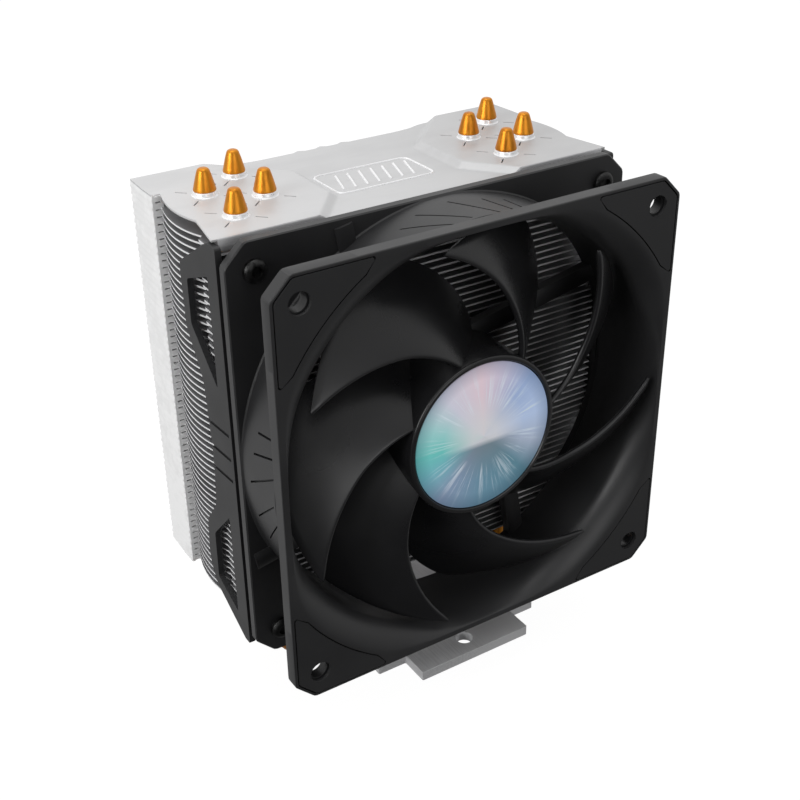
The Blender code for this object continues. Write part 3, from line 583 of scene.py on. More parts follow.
def make_fin_tabs():
    """Folded edges of every fin: a lip on the tabs' step, and an overlapping side wall behind it."""
    parts = Solid()
    w = FIN_HALF
    for side in (-1, 1):
        for k in range(FIN_COUNT):
            low = stack_low.z + k * FIN_PITCH
            high = low + FIN_PITCH + 0.02 * MM if k < FIN_COUNT - 1 else PLATFORM_Z - 0.1 * MM
            slot = 0.25 * MM
            x0, x1, x2 = side * (w - 1.9 * MM), side * (w - 0.35 * MM), side * (w + 0.45 * MM)
            front, back = TAB_FACE - 0.2 * MM, TAB_FACE + 0.3 * MM
            parts.prism([(x0, low + slot), (x1, low + slot), (x1, high - slot), (x0, high - slot)],
                        "Y", front, back)
            parts.prism([(x1, low), (x2, low), (x2, high), (x1, high)], "Y", front + 0.02 * MM, back)
            rings = []
            for x, y in ((w + 0.4 * MM, TAB_SIDE - 0.3 * MM), (w + 0.4 * MM, 17.0 * MM),
                         (w, FIN_REAR - 0.1 * MM)):
                foot, crown, inner = side * (x + 0.2 * MM), side * (x - 0.12 * MM), side * (x - 0.5 * MM)
                rings.append([(foot, y, low), (foot, y, low + 0.5 * MM), (crown, y, high),
                              (inner, y, high), (inner, y, low)])
            parts.loft(rings)
        x0, x1 = side * (w - 2.5 * MM), side * (w - 1.9 * MM)
        strip = [(x0, TAB_FACE - 0.22 * MM), (x1, TAB_FACE - 0.22 * MM), (x1, TAB_FACE + 0.3 * MM),
                 (x0, TAB_FACE + 0.3 * MM)]
        parts.prism(strip, "Z", stack_low.z, PLATFORM_Z - 0.3 * MM)
    # The tabs' near-white material is painted light, standing in for the strong light their front faces don't
    # get.
    obj = parts.piece("fin_folded_tabs", MATERIALS["tabs"], smooth_angle=30)
    settle(obj, "heatsink", "fin_aluminium")


SLIT_START, SLIT_END, SLIT_HALF = 4.9 * MM, 8.1 * MM, 0.2 * MM
GRID_EVEN_X = 50.0 * MM                   # the pressed sheet's grid is stretched beyond these
GRID_EVEN_Y = 19.0 * MM


def platform_height(x, y):
    """Rise of the top fin's end platforms: a slope along their inner, front and rear diagonals."""
    u = abs(x) - 18.5 * MM
    front = u * 0.785 + (y + 12.5 * MM) * 0.619
    rear = u * 0.73 - (y - 9.0 * MM) * 0.683
    inside = min(u, front, rear)
    return PLATFORM_RISE * min(1.0, max(0.0, inside / (2.0 * MM)))


def make_top_fin():
    """Pressed sheet: a fine grid laid over the fin's outline, lifted at its ends, then slit."""
    front = FIN_FRONT + 0.7 * MM
    side = [(y, x) for x, y in fin_side() if y > -20 * MM] + [(front, FIN_HALF + 0.8 * MM)]
    side = [(y, x) for y, x in sorted(side) if not -13.95 * MM < y < -12.2 * MM]
    back = sorted((x, y) for x, y in fin_outline() if y > 20 * MM)
    side_y, side_x = zip(*side)
    back_x, back_y = zip(*back)
    columns = list(np.linspace(-FIN_HALF, FIN_HALF, 260))
    rows = sorted(list(np.linspace(front, FIN_REAR, 126)) + [TAB_FACE, TAB_SIDE])

    top, bottom = [], []
    for y_even in rows:
        width = float(np.interp(y_even, side_y, side_x))
        for x_even in columns:
            x, y = x_even, y_even
            if abs(x) > GRID_EVEN_X:
                share = (abs(x) - GRID_EVEN_X) / (FIN_HALF - GRID_EVEN_X)
                x = (GRID_EVEN_X + share * (width - GRID_EVEN_X)) * (1 if x > 0 else -1)
            if y > GRID_EVEN_Y:
                share = (y - GRID_EVEN_Y) / (FIN_REAR - GRID_EVEN_Y)
                y = GRID_EVEN_Y + share * (float(np.interp(x, back_x, back_y)) - GRID_EVEN_Y)
            z = SHEET_Z + platform_height(x, y)
            top.append((x, y, z))
            bottom.append((x, y, z - FIN_SHEET))

    faces = slab_faces(len(rows), len(columns))
    obj = new_piece("top_fin_pressed", top + bottom, faces, MATERIALS["top"], 0)

    slits = Solid()
    for px, py in LEGS:
        for k in range(4):
            along = Vector((cos(pi / 4 + k * pi / 2), sin(pi / 4 + k * pi / 2)))
            across = Vector((-along.y, along.x)) * SLIT_HALF
            ends = [Vector((px, py)) + along * r for r in (SLIT_START, SLIT_END)]
            outline = [ends[0] - across, ends[1] - across, ends[1] + across, ends[0] + across]
            slits.prism([(v.x, v.y) for v in outline], "Z", PLATFORM_Z - 1.2 * MM, PLATFORM_Z + 1.0 * MM)
    cut(obj, "DIFFERENCE", "pipe_slits", slits)
    smooth(obj.data, 40)
    settle(obj, "heatsink", "fin_aluminium", "top_fin")


def make_top_fin_lip():
    """The top fin's front edge is folded down against the fin below it."""
    rings = []
    steps = 60
    half = FIN_HALF - 0.7 * MM
    for k in range(steps + 1):
        x = half * (2 * k / steps - 1)
        high = SHEET_Z + platform_height(x, FIN_FRONT + 0.7 * MM) - 0.05 * MM
        low = SHEET_Z - 1.6 * MM
        rings.append([(x, FIN_FRONT + 0.25 * MM, low), (x, FIN_FRONT + 0.25 * MM, high - 0.2 * MM),
                      (x, FIN_FRONT + 0.4 * MM, high), (x, FIN_FRONT + 0.8 * MM, high),
                      (x, FIN_FRONT + 0.8 * MM, low)])
    obj = Solid().loft(rings).piece("top_fin_front_lip", MATERIALS["lip"], smooth_angle=40)
    settle(obj, "heatsink", "fin_aluminium")


def make_emblem():
    """A plain pressed frame with leaning bars, in the middle of the top fin."""
    parts = Solid()
    low, high = SHEET_Z - 0.1 * MM, SHEET_Z + 0.22 * MM
    centre = Vector((-2.5 * MM, -4.0 * MM))
    half_x, half_y, line = 15.0 * MM, 8.0 * MM, 0.75 * MM

    def frame_ring(inset, z):
        x, y = half_x - inset, half_y - inset
        corners = [(centre.x + sx * x, centre.y + sy * y) for sx, sy in ((-1, -1), (1, -1), (1, 1), (-1, 1))]
        return [(px, py, z) for px, py in rounded(corners, 3.0 * MM - inset, 6)]

    parts.loft([frame_ring(0, low), frame_ring(0.2 * MM, high), frame_ring(line - 0.2 * MM, high),
                frame_ring(line, low)], closed=True)
    for k in range(-3, 4):
        x = centre.x + k * 3.6 * MM
        lean, reach = 1.6 * MM, 5.2 * MM
        foot = [(x - lean, centre.y - reach), (x - lean + line, centre.y - reach),
                (x + lean + line, centre.y + reach), (x + lean, centre.y + reach)]
        inset = 0.2 * MM
        crown = [(foot[0][0] + inset, foot[0][1] + inset), (foot[1][0] - inset, foot[1][1] + inset),
                 (foot[2][0] - inset, foot[2][1] - inset), (foot[3][0] + inset, foot[3][1] - inset)]
        parts.loft([[(px, py, low) for px, py in foot], [(px, py, high) for px, py in crown]])
    obj = parts.piece("top_fin_emblem", MATERIALS["bright"], smooth_angle=30)
    settle(obj, "heatsink", "fin_aluminium")


def make_pipe_collars():
    """Necks drawn up out of the top fin round each pipe, with a rolled lip."""
    parts = Solid()
    profile = [(3.7, -0.25), (3.45, 0.02), (3.2, 0.2), (3.1, 0.5), (3.1, 0.95), (3.0, 1.15), (2.8, 1.2),
               (2.5, 1.1), (2.45, 0.9), (2.45, -0.3)]
    for x, y in LEGS:
        rings = []
        for i in range(40):
            a = 2 * pi * i / 40
            rings.append([(x + r * MM * cos(a), y + r * MM * sin(a), PLATFORM_Z + h * MM)
                          for r, h in profile])
        parts.loft(rings, closed=True)
    obj = parts.piece("pipe_collars", MATERIALS["bright"], smooth_angle=50)
    settle(obj, "heatsink", "fin_aluminium")


# The sealed head above the collar: how far up it (0 to 1), and its radius in mm
HEAD_SHAPE = ((0.0, 2.7), (0.03, 2.95), (0.1, 2.92), (0.17, 2.8), (0.3, 2.62), (0.4, 2.46), (0.52, 2.28),
              (0.64, 2.1), (0.77, 1.86), (0.87, 1.68), (0.92, 1.56), (0.96, 1.38), (0.985, 1.16), (1.0, 0.95))
BEND_START = block_high.x + 0.5 * MM      # a leg's bend ends this far out from the middle


def make_heat_pipe(number):
    y, left, right = PIPES[number - 1]
    collar = PLATFORM_Z + COLLAR_RISE
    head = [(PLATFORM_Z - 3.0 * MM, PIPE_R), (PLATFORM_Z - 2.0 * MM, 2.3 * MM), (collar - 0.3 * MM, 2.3 * MM)]
    base = collar - 0.05 * MM
    head += [(base + (PIPE_TIP_Z - base) * up, radius * MM) for up, radius in HEAD_SHAPE]
    path = [(left, z, r) for z, r in head[::-1]]
    path.append((left, PLATFORM_Z * 0.5, PIPE_R))
    reach_left, reach_right = -BEND_START - left, right - BEND_START
    bends = arc(reach_left, pi, 1.5 * pi, 16, (-BEND_START, reach_left + PIPE_R))
    bends += arc(reach_right, 1.5 * pi, 2 * pi, 16, (BEND_START, reach_right + PIPE_R))
    path += [(x, z, PIPE_R) for x, z in bends]
    path.append((right, PLATFORM_Z * 0.5, PIPE_R))
    path += [(right, z, r) for z, r in head]
    rings = []
    for i, (x, z, r) in enumerate(path):
        ahead, behind = path[min(i + 1, len(path) - 1)], path[max(i - 1, 0)]
        along = Vector((ahead[0] - behind[0], 0, ahead[1] - behind[1])).normalized()
        side = Vector((0, 1, 0))
        other = along.cross(side)
        rings.append([Vector((x, y, z)) + (side * cos(a) + other * sin(a)) * r
                      for a in (2 * pi * k / 32 for k in range(32))])
    obj = Solid().loft(rings).piece(f"heat_pipe_{number}_round", MATERIALS["copper"], smooth_angle=45)
    settle(obj, "heatsink", "copper", f"heat_pipe_{number}")


# ---- base
def make_mounting_plate():
    half_x, half_y = plate_high.x, plate_high.y
    lug_x, wide_y = 18.4 * MM, 41.2 * MM
    corner = [(lug_x, half_y), (lug_x, wide_y), (half_x, wide_y)]
    outline = (corner + [(x, -y) for x, y in corner[::-1]]
               + [(-x, -y) for x, y in corner] + [(-x, y) for x, y in corner[::-1]])
    outline = rounded(outline, 0.5 * MM, 3)
    holes = [circle(2.5 * MM, 40, (0, y)) for y in (-44.2 * MM, 44.2 * MM)]
    holes += [circle(1.8 * MM, 24, (x, y)) for x in (-14 * MM, 14 * MM) for y in (-15 * MM, 15 * MM)]
    points, tris, rings = flat_fill(outline, holes)
    verts, faces = sheet(points, tris, rings, plate_low.z, plate_high.z)
    obj = new_piece("mounting_plate_finished", verts, faces, MATERIALS["plate"], 30, 0.25 * MM)
    settle(obj, "heatsink", "plate_steel", "mounting_plate")


def make_base_block():
    half = PIPE_R + 0.15 * MM
    outline = [(-19 * MM, block_high.z), (-19 * MM, 0.0)]
    for y in (pipe[0] for pipe in PIPES):
        outline += [(y - half, 0.0)] + arc(half, pi, 0.0, 12, (y, PIPE_R)) + [(y + half, 0.0)]
    outline += [(19 * MM, 0.0), (19 * MM, block_high.z)]
    obj = Solid().prism(outline, "X", block_low.x, block_high.x).piece(
        "base_block_finished", MATERIALS["block"], smooth_angle=30, bevel=0.3 * MM)
    settle(obj, "heatsink", "machined_aluminium", "base_block")


def make_plate_screws():
    for number in range(1, 5):
        low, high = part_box(f"plate_screw_{number}")
        cx, cy = (low.x + high.x) / 2, (low.y + high.y) / 2
        seat = plate_high.z
        parts = Solid()
        profile = [(1.5, low.z), (1.5, seat), (2.9, seat), (2.9, seat + 1.0 * MM), (2.6, seat + 1.6 * MM),
                   (1.9, high.z), (1.5, high.z), (1.3, high.z - 0.9 * MM), (0.05, high.z - 1.0 * MM)]
        parts.loft([[(x, y, z) for x, y in circle(r * MM, 32, (cx, cy))] for r, z in profile])
        obj = parts.piece(f"plate_screw_{number}_finished", MATERIALS["zinc"], smooth_angle=35)
        settle(obj, "heatsink", "zinc_steel", f"plate_screw_{number}")


# ---- fan frame
CORNER_CUT = 5.5 * MM
THROAT_R = 57.5 * MM
SHROUD_R = 59.6 * MM
FLANGE = 4.3 * MM
REAR_FLANGE = 2.9 * MM
FLARE_R = 64.6 * MM
RIM = 1.7 * MM
PAD_POCKET = 1.3 * MM
# Leaning slots in the middle of each side of the shroud: (across, depth) of their two ends, in mm
SHROUD_SLOTS = (((-17.0, 14.5), (-7.0, 5.2)), ((-11.0, 17.0), (-2.0, 6.0)), ((-1.0, 18.0), (6.0, 5.6)),
                ((8.0, 16.0), (11.0, 6.0)), ((14.0, 15.0), (15.4, 5.6)))


def square_reach(angle, half=FAN_HALF, chamfer=CORNER_CUT, sharpness=400):
    """Distance from the axis to the chamfered square's edge, with slightly rounded corners."""
    total = 0.0
    for k in range(8):
        away = half if k % 2 == 0 else (2 * half - chamfer) / 2 ** 0.5
        lean = cos(angle - k * pi / 4) / away
        if lean > 0:
            total += (lean * half) ** sharpness
    return half / total ** (1 / sharpness)


def flare_edge(angle):
    side = FAN_HALF - RIM
    c, s = abs(cos(angle)), abs(sin(angle))
    total = (c / side) ** 40 + (s / side) ** 40 + (1 / FLARE_R) ** 40
    return total ** (-1 / 40)


def frame_point(r, depth, angle):
    return (FAN_AXIS.x + r * cos(angle), FAN_FRONT + depth, FAN_AXIS.z + r * sin(angle))


def slot_rings(slot, turn):
    """Sections of one slot's cutter along its length, following the round outside of the shroud."""
    (x0, d0), (x1, d1) = slot
    half, deep, clear = 0.3 * MM, 0.9 * MM, 1.5 * MM
    spin = Matrix.Rotation(-turn, 3, "Y")
    middle = Vector((FAN_AXIS.x, FAN_FRONT, FAN_AXIS.z))
    rings = []
    for k in range(7):
        t = k / 6
        x, depth = (x0 + (x1 - x0) * t) * MM, (d0 + (d1 - d0) * t) * MM
        surface = sqrt(SHROUD_R ** 2 - x ** 2)
        corners = ((x - half, surface - deep), (x + half, surface - deep),
                   (x + half, surface + clear), (x - half, surface + clear))
        rings.append([middle + spin @ Vector((cx, depth, cz)) for cx, cz in corners])
    return rings


def make_fan_frame():
    steps = 720
    flare_depth = 7.0 * MM
    edge = 0.35 * MM
    back = FAN_DEPTH - REAR_FLANGE
    rings = []
    for i in range(steps):
        a = 2 * pi * i / steps
        outer = square_reach(a)
        shroud = min(SHROUD_R, outer - 0.3 * MM)
        inner_edge = flare_edge(a)
        profile = [(outer - edge, 0), (outer - 0.3 * edge, 0.3 * edge), (outer, edge),
                   (outer, FLANGE - edge), (outer - edge, FLANGE), (shroud + 0.35 * MM, FLANGE),
                   (shroud, FLANGE + 0.35 * MM), (shroud, back - 0.35 * MM), (shroud + 0.35 * MM, back),
                   (outer - edge, back), (outer, back + edge), (outer, FAN_DEPTH - edge),
                   (outer - edge, FAN_DEPTH), (THROAT_R + 0.8 * MM, FAN_DEPTH),
                   (THROAT_R, FAN_DEPTH - 0.8 * MM), (THROAT_R, flare_depth + 4 * MM)]
        for k in range(10):
            t = 1 - k / 10
            profile.append((inner_edge - (inner_edge - THROAT_R) * sin(t * pi / 2) ** 1.1,
                            flare_depth * (1 - cos(t * pi / 2)) ** 0.85))
        profile.append((inner_edge, 0))
        rings.append([frame_point(r, d, a) for r, d in profile])
    obj = Solid().loft(rings, closed=True).piece("fan_frame_moulded", MATERIALS["frame"], smooth_angle=0)

    pockets, holes, slots = Solid(), Solid(), Solid()
    for outline in pad_outlines(0.3 * MM):
        pockets.prism(outline, "Y", FAN_FRONT - 1 * MM, FAN_FRONT + PAD_POCKET)
        pockets.prism(outline, "Y", FAN_FRONT + FAN_DEPTH - PAD_POCKET, FAN_FRONT + FAN_DEPTH + 1 * MM)
    for centre in hole_places():
        holes.prism(circle(2.5 * MM, 40, centre), "Y", FAN_FRONT - 1 * MM, FAN_FRONT + FAN_DEPTH + 1 * MM)
    for quarter in range(4):
        for slot in SHROUD_SLOTS:
            slots.loft(slot_rings(slot, quarter * pi / 2))
    for name, tool in (("pad_pockets", pockets), ("screw_holes", holes), ("shroud_slots", slots)):
        cut(obj, "DIFFERENCE", name, tool)
    smooth(obj.data, 20)
    settle(obj, "fan_unit", "frame_plastic", "fan_frame")


def make_motor_mount():
    """Disc and bearing tube behind the rotor, held by four leaning struts."""
    back = FAN_DEPTH / MM
    front = back - 3.4
    parts = Solid()
    profile = [(22.0, front + 0.4), (22.0, back - 0.8), (21.6, back - 0.3), (21.0, back), (18.5, back),
               (18.3, back - 0.3), (0.05, back - 0.3), (0.05, front + 1.2), (4.4, front + 1.2), (4.4, 7.0),
               (5.5, 7.0), (5.5, front), (21.6, front)]
    parts.loft(turned(scaled(profile), 96), closed=True)
    half = 2.5
    section = scaled([(-half, front), (-half / 2, front - 0.5), (half / 2, front - 0.5), (half, front),
                      (half, back - 0.5), (0.8 * half, back - 0.2), (-0.8 * half, back - 0.2),
                      (-half, back - 0.5)])
    for k in range(4):
        turn = Matrix.Rotation(k * pi / 2, 3, "Y")
        start, end = Vector((8 * MM, 0, 19 * MM)), Vector((58.3 * MM, 0, 28.4 * MM))
        across = Vector((-(end - start).z, 0, (end - start).x)).normalized()
        rings = []
        for m in range(9):
            at = start.lerp(end, m / 8)
            rings.append([turn @ (at + across * side) + Vector((FAN_AXIS.x, FAN_FRONT + depth, FAN_AXIS.z))
                          for side, depth in section])
        parts.loft(rings)
    obj = parts.piece("motor_mount_struts", MATERIALS["frame"], smooth_angle=30)
    settle(obj, "fan_unit", "frame_plastic")


def hole_places():
    half = 52.5 * MM
    return [(FAN_AXIS.x + sx * half, FAN_AXIS.z + sz * half) for sx in (-1, 1) for sz in (-1, 1)]


def pad_outlines(grow):
    """Corner pads as seen from the front: an arc about the axis and the frame's own edges."""
    edge, inner, tail = FAN_HALF - 1.1 * MM + grow, 65.6 * MM - grow, 33.0 * MM - grow
    chamfer = CORNER_CUT * 0.9
    start = atan2(tail, (inner ** 2 - tail ** 2) ** 0.5)
    corner = [(edge, tail), (edge, edge - chamfer), (edge - chamfer, edge), (tail, edge)]
    curve = arc(inner, pi / 2 - start, start, 24)
    soft = rounded(corner + [curve[0], curve[-1]], 0.8 * MM, 4)
    count = 5 * 4
    outline = soft[:count] + curve[2:-2]
    return [[(FAN_AXIS.x + sx * x, FAN_AXIS.z + sz * z) for x, z in outline]
            for sx in (-1, 1) for sz in (-1, 1)]


def make_pads():
    names = ("lower_left", "upper_left", "lower_right", "upper_right")
    for face in ("front", "rear"):
        for name, outline, centre in zip(names, pad_outlines(0.0), hole_places()):
            node = f"{face}_pad_{name}"
            low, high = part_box(node)
            points, tris, rings = flat_fill(outline, [circle(2.9 * MM, 40, centre)])
            verts, faces = sheet(points, tris, rings, low.y, high.y)
            verts = [(x, depth, z) for x, z, depth in verts]
            obj = new_piece(node + "_moulded", verts, faces, MATERIALS["rubber"], 30, 0.18 * MM)
            settle(obj, "fan_unit", "rubber", node)


# ---- brackets
def make_bracket(side):
    node = "left_bracket" if side < 0 else "right_bracket"
    arm = [(26.6, -58.2), (29.2, -58.2), (45.3, -49.4), (47.9, -44.7), (48.4, -39.0), (47.5, -28.8),
           (40.6, -20.3), (39.3, -8.4), (39.3, -0.7), (40.8, 17.7), (48.3, 29.6), (48.7, 47.4),
           (31.4, 58.0), (26.6, 58.0)]
    softness = [0.5 * MM] * 2 + [1.6 * MM] * 10 + [0.8 * MM] * 2
    windows = [[(32.2, 18.9), (44.9, 31.7), (44.8, 44.1), (32.2, 49.1)],
               [(32.6, -51.1), (43.8, -46.0), (43.4, -31.1), (32.6, -20.0)]]

    def place(points):
        return [(FAN_FRONT + y * MM, FAN_AXIS.z + z * MM) for y, z in points]

    outline = rounded(place(arm), softness, 4)
    holes = [rounded(place(w), 0.8 * MM, 3) for w in windows]
    points, tris, rings = flat_fill(outline, holes)
    verts, faces = sheet(points, tris, rings, *sorted((side * 58.3 * MM, side * 60.0 * MM)))
    verts = [(depth, y, z) for y, z, depth in verts]
    obj = new_piece(node + "_moulded", verts, faces, MATERIALS["bracket"], 0)
    outward_mesh(obj.data)

    reach = radians(43)
    corner = scaled([(59.0, 52.5), (52.0, 58.2), (44.0, 58.2)])
    strip = corner + arc(58.6 * MM, reach, -reach, 40) + [(x, -z) for x, z in corner[::-1]]
    low = FAN_FRONT + FAN_DEPTH + 0.3 * MM
    plate = Solid().prism([(side * x, FAN_AXIS.z + z) for x, z in strip], "Y", low, low + 2.3 * MM)
    cut(obj, "UNION", "strip", plate)

    tool = Solid()
    for z in (6.5, -0.6, -7.0):
        groove = [(FAN_FRONT + y * MM, FAN_AXIS.z + (z + dz) * MM)
                  for y, dz in ((28.0, 0.1), (42.0, -0.9), (42.0, 0.1), (28.0, 1.1))]
        face = side * 60.0 * MM
        tool.prism(groove, "X", *sorted((face - side * 0.5 * MM, face + side * MM)))
    for x, z in hole_places():
        if x * side > 0:
            tool.prism(circle(2.3 * MM, 32, (x, z)), "Y", low - 1 * MM, low + 3.3 * MM)
    cut(obj, "DIFFERENCE", "grooves", tool)
    add_bevel(obj, 0.25 * MM, 40)
    smooth(obj.data, 30)
    settle(obj, "fan_unit", "bracket_plastic", node)


def make_bracket_screws():
    for name in ("lower_left", "upper_left", "lower_right", "upper_right"):
        node = f"bracket_screw_{name}"
        low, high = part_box(node)
        cx, cz = (low.x + high.x) / 2, (low.z + high.z) / 2
        front = low.y
        profile = [(0.05, front + 1.0 * MM), (1.2, front + 0.95 * MM), (1.4, front), (2.0, front),
                   (2.6, front + 0.35 * MM), (3.0, front + 0.9 * MM), (3.0, front + 1.8 * MM),
                   (2.0, front + 1.8 * MM), (2.0, high.y)]
        rings = [[(x, y, z) for x, z in circle(r * MM, 32, (cx, cz))] for r, y in profile]
        obj = Solid().loft(rings).piece(node + "_finished", MATERIALS["black_steel"], smooth_angle=35)
        settle(obj, "fan_unit", "black_steel", node)


# ---- rotor
HUB_R = 22.75 * MM
BLADES = 7
TIP_R = 56.0 * MM
TIP_ANGLE = radians(2.0)
CHORD = radians(40.0)
SWEEP = radians(1.42) / MM
BLADE_FRONT, BLADE_BACK = 3.6 * MM, 19.9 * MM
BLADE_LEAN, LEAN_R = 2.6 * MM, 36.0 * MM  # the leading edge comes forward beyond this radius
BLADE_HALF = 0.8 * MM                     # half of a blade's thickness
NOSE = 1.3 * MM                           # length of the rounded leading edge
TIP_ROUND = 1.6 * MM                      # rounding of the two corners at the tip


def blade_point(radius, chord, angle):
    lie = angle - SWEEP * (TIP_R - radius) - CHORD * chord
    front = BLADE_FRONT - BLADE_LEAN * max(0.0, (radius - LEAN_R) / (TIP_R - LEAN_R))
    depth = front + (BLADE_BACK - front) * chord ** 1.15
    return Vector((radius * cos(lie), depth, radius * sin(lie)))


def blade_half(chord):
    """Half thickness: a round nose, a level middle and a thin trailing edge."""
    along = chord * CHORD * TIP_R
    nose = sqrt(max(0.0, 1 - (1 - min(1.0, along / NOSE)) ** 2))
    tail = 1 - 0.65 * max(0.0, (chord - 0.55) / 0.45)
    return max(0.1 * MM, BLADE_HALF * nose * tail)


def tip_radius(chord):
    """Outer end of the blade, brought in at its two rounded corners."""
    near = min(chord, 1 - chord) * CHORD * TIP_R
    if near >= TIP_ROUND:
        return TIP_R
    return TIP_R - TIP_ROUND + sqrt(TIP_ROUND ** 2 - (TIP_ROUND - near) ** 2)


def blade_shell(parts, angle, across=32, along=34):
    root = HUB_R - 0.9 * MM
    small = 0.05 * MM
    front, back = [], []
    for i in range(across + 1):
        for j in range(along + 1):
            chord = (1 - cos(pi * j / along)) / 2
            radius = root + (tip_radius(chord) - root) * i / across
            here = blade_point(radius, chord, angle)
            slope_r = blade_point(radius - small, chord, angle) - here
            slope_c = blade_point(radius, chord + 0.004, angle) - here
            normal = slope_r.cross(slope_c).normalized()
            at_tip = 1 - max(0.0, (i / across - 0.97) / 0.03) * 0.5
            front.append(here + normal * blade_half(chord) * at_tip)
            back.append(here - normal * blade_half(chord) * at_tip)
    shift = Vector((FAN_AXIS.x, FAN_FRONT, FAN_AXIS.z))
    parts.add([v + shift for v in front + back], slab_faces(across + 1, along + 1))


def make_impeller():
    hub = [(22.05, 2.0), (22.4, 2.1), (22.65, 2.35), (22.75, 2.8), (22.75, 20.3), (22.45, 20.6),
           (21.05, 20.6), (21.05, 4.5), (4.2, 4.5), (4.2, 6.9), (1.8, 6.9), (1.8, 4.1), (0.05, 4.1),
           (0.05, 2.9), (21.3, 2.9), (21.3, 2.25), (21.5, 2.0)]
    body = Solid().loft(turned(scaled(hub), 160), closed=True)
    obj = body.piece("impeller_moulded", MATERIALS["blade"], smooth_angle=0)
    blades = Solid()
    for k in range(BLADES):
        blade_shell(blades, TIP_ANGLE + 2 * pi * k / BLADES)
    cut(obj, "UNION", "blades", blades)
    smooth(obj.data, 40)
    settle(obj, "rotor", "blade_plastic", "impeller")


def make_badge():
    """A thin, slightly domed disc in the hub's recess."""
    radius = (badge_high.x - badge_low.x) / 2
    front, back = badge_low.y - FAN_FRONT, badge_high.y - FAN_FRONT
    shares = (0.002, 0.25, 0.5, 0.7, 0.82, 0.9, 0.96, 1.0)
    profile = [(radius * t, front + 0.25 * MM * t ** 4) for t in shares]
    profile += [(radius, back), (shares[0] * radius, back)]
    rings = turned(profile, 160)
    obj = Solid().loft(rings, closed=True).piece("hub_badge_disc", MATERIALS["badge"], smooth_angle=40)
    settle(obj, "rotor", "badge_film", "hub_badge")


# ---- lead and carried-over parts
def paint_carried_parts():
    """CAD parts inside the motor keep their shape and get their finished materials."""
    finishes = {"bearing_bush": "bronze", "stator_core": "laminations", "circuit_board": "board",
                "fan_lead": "jacket", "lead_plug": "hub", "rotor_yoke": "zinc", "magnet_ring": "ferrite",
                "motor_shaft": "zinc"}
    finishes.update({f"stator_coil_{k}": "winding" for k in range(1, 5)})
    for node, finish in finishes.items():
        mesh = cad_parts[node].data
        mesh.materials.clear()
        mesh.materials.append(MATERIALS[finish])


# ---- studio
def make_floor():
    """A pale flat floor that the object neither reflects nor is lit by, so its lower faces stay dark."""
    half, steps = 3.0, 8
    verts = [(half * (2 * i / steps - 1), half * (2 * j / steps - 1), -0.3 * MM)
             for j in range(steps + 1) for i in range(steps + 1)]
    faces = []
    for j in range(steps):
        for i in range(steps):
            a = j * (steps + 1) + i
            faces.append((a, a + 1, a + steps + 2, a + steps + 1))
    mat, tree, shader = new_material("floor_paper", (0.1, 0.1, 0.1), 0.9, 0.0, 0.0)
    tone = noise(tree, mapped(tree, (4, 4, 4)), 1, 2)
    paper = colours(tree, tone, ((0.3, (0.97, 0.97, 0.97)), (0.7, (1.0, 1.0, 1.0))))
    tree.links.new(paper, shader.inputs["Emission Color"])
    shader.inputs["Emission Strength"].default_value = 0.96
    floor = new_piece("floor", verts, faces, mat, 0)
    floor.visible_diffuse = False
    floor.visible_glossy = False
    floor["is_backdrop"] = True


def area_light(name, location, target, size, power):
    data = bpy.data.lights.new(name, "AREA")
    data.shape = "RECTANGLE"
    data.size, data.size_y = size
    data.energy = power
    obj = new_object(name, data)
    obj.location = location
    obj.rotation_mode = "QUATERNION"
    obj.rotation_quaternion = (Vector(target) - Vector(location)).to_track_quat("-Z", "Y")


ROOM_LEAN = (0.14, 0.35, 0.36)            # how the room's light grows with each axis
ROOM_LEVEL, ROOM_LEAST = 0.515, 0.03


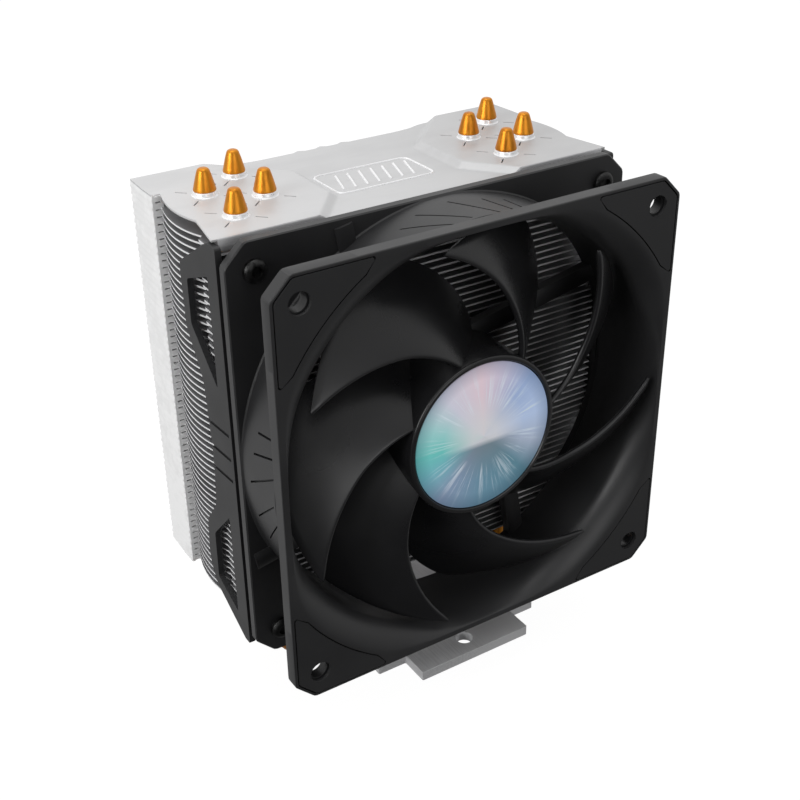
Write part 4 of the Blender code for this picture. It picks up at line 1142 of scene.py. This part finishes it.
def make_lights():
    middle = (0, 0, 0.08)
    area_light("left_softbox", (-1.05, -0.2, 0.5), middle, (0.6, 0.6), 6)
    area_light("top_softbox", (-0.1, 0.0, 1.2), middle, (0.9, 0.7), 2.5)
    area_light("front_fill", (-0.1, -1.25, 0.35), middle, (0.8, 0.6), 2.5)

    world = bpy.data.worlds.new("studio")
    bpy.context.scene.world = world
    world.use_nodes = True
    tree = world.node_tree
    tree.nodes.clear()
    out = tree.nodes.new("ShaderNodeOutputWorld")
    seen, lit = tree.nodes.new("ShaderNodeBackground"), tree.nodes.new("ShaderNodeBackground")
    seen.inputs["Color"].default_value = (1, 1, 1, 1)
    seen.inputs["Strength"].default_value = 1.0
    lit.inputs["Color"].default_value = (1, 1, 1, 1)
    tree.links.new(room_light(tree), lit.inputs["Strength"])
    path = tree.nodes.new("ShaderNodeLightPath")
    mix = tree.nodes.new("ShaderNodeMixShader")
    tree.links.new(path.outputs["Is Camera Ray"], mix.inputs["Fac"])
    tree.links.new(lit.outputs[0], mix.inputs[1])
    tree.links.new(seen.outputs[0], mix.inputs[2])
    tree.links.new(mix.outputs[0], out.inputs["Surface"])


def room_light(tree):
    """Light from the room by direction: strongest from above and behind right, faint from low in front."""
    coords = tree.nodes.new("ShaderNodeTexCoord")
    lean = tree.nodes.new("ShaderNodeVectorMath")
    lean.operation = "DOT_PRODUCT"
    lean.inputs[1].default_value = ROOM_LEAN
    tree.links.new(coords.outputs["Generated"], lean.inputs[0])
    return maths(tree, "MAXIMUM", maths(tree, "ADD", lean.outputs["Value"], ROOM_LEVEL), ROOM_LEAST)


def make_camera():
    """Three-quarter view from the front left, above, with a slight roll."""
    azimuth, elevation, roll = radians(-32.17), radians(29.30), radians(-0.93)
    place = Vector((-170.4, -282.1, 260.5)) * MM
    back = Vector((sin(azimuth) * cos(elevation), -cos(azimuth) * cos(elevation), sin(elevation)))
    right = Vector((cos(azimuth), sin(azimuth), 0))
    up = back.cross(right)
    side = right * cos(roll) + up * sin(roll)
    rise = up * cos(roll) - right * sin(roll)
    data = bpy.data.cameras.new("camera")
    data.lens, data.sensor_width = 57.75, 36.0
    camera = new_object("camera", data)
    matrix = Matrix((side, rise, back)).transposed().to_4x4()
    matrix.translation = place
    camera.matrix_world = matrix
    bpy.context.scene.camera = camera


make_fin_stack()
make_fin_tabs()
make_top_fin()
make_top_fin_lip()
make_emblem()
make_pipe_collars()
for pipe_number in range(1, 5):
    make_heat_pipe(pipe_number)
make_mounting_plate()
make_base_block()
make_plate_screws()
make_fan_frame()
make_motor_mount()
make_pads()
for bracket_side in (-1, 1):
    make_bracket(bracket_side)
make_bracket_screws()
make_impeller()
make_badge()
paint_carried_parts()
make_floor()
make_lights()
make_camera()
bpy.context.scene.view_settings.view_transform = "Standard"

low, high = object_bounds()
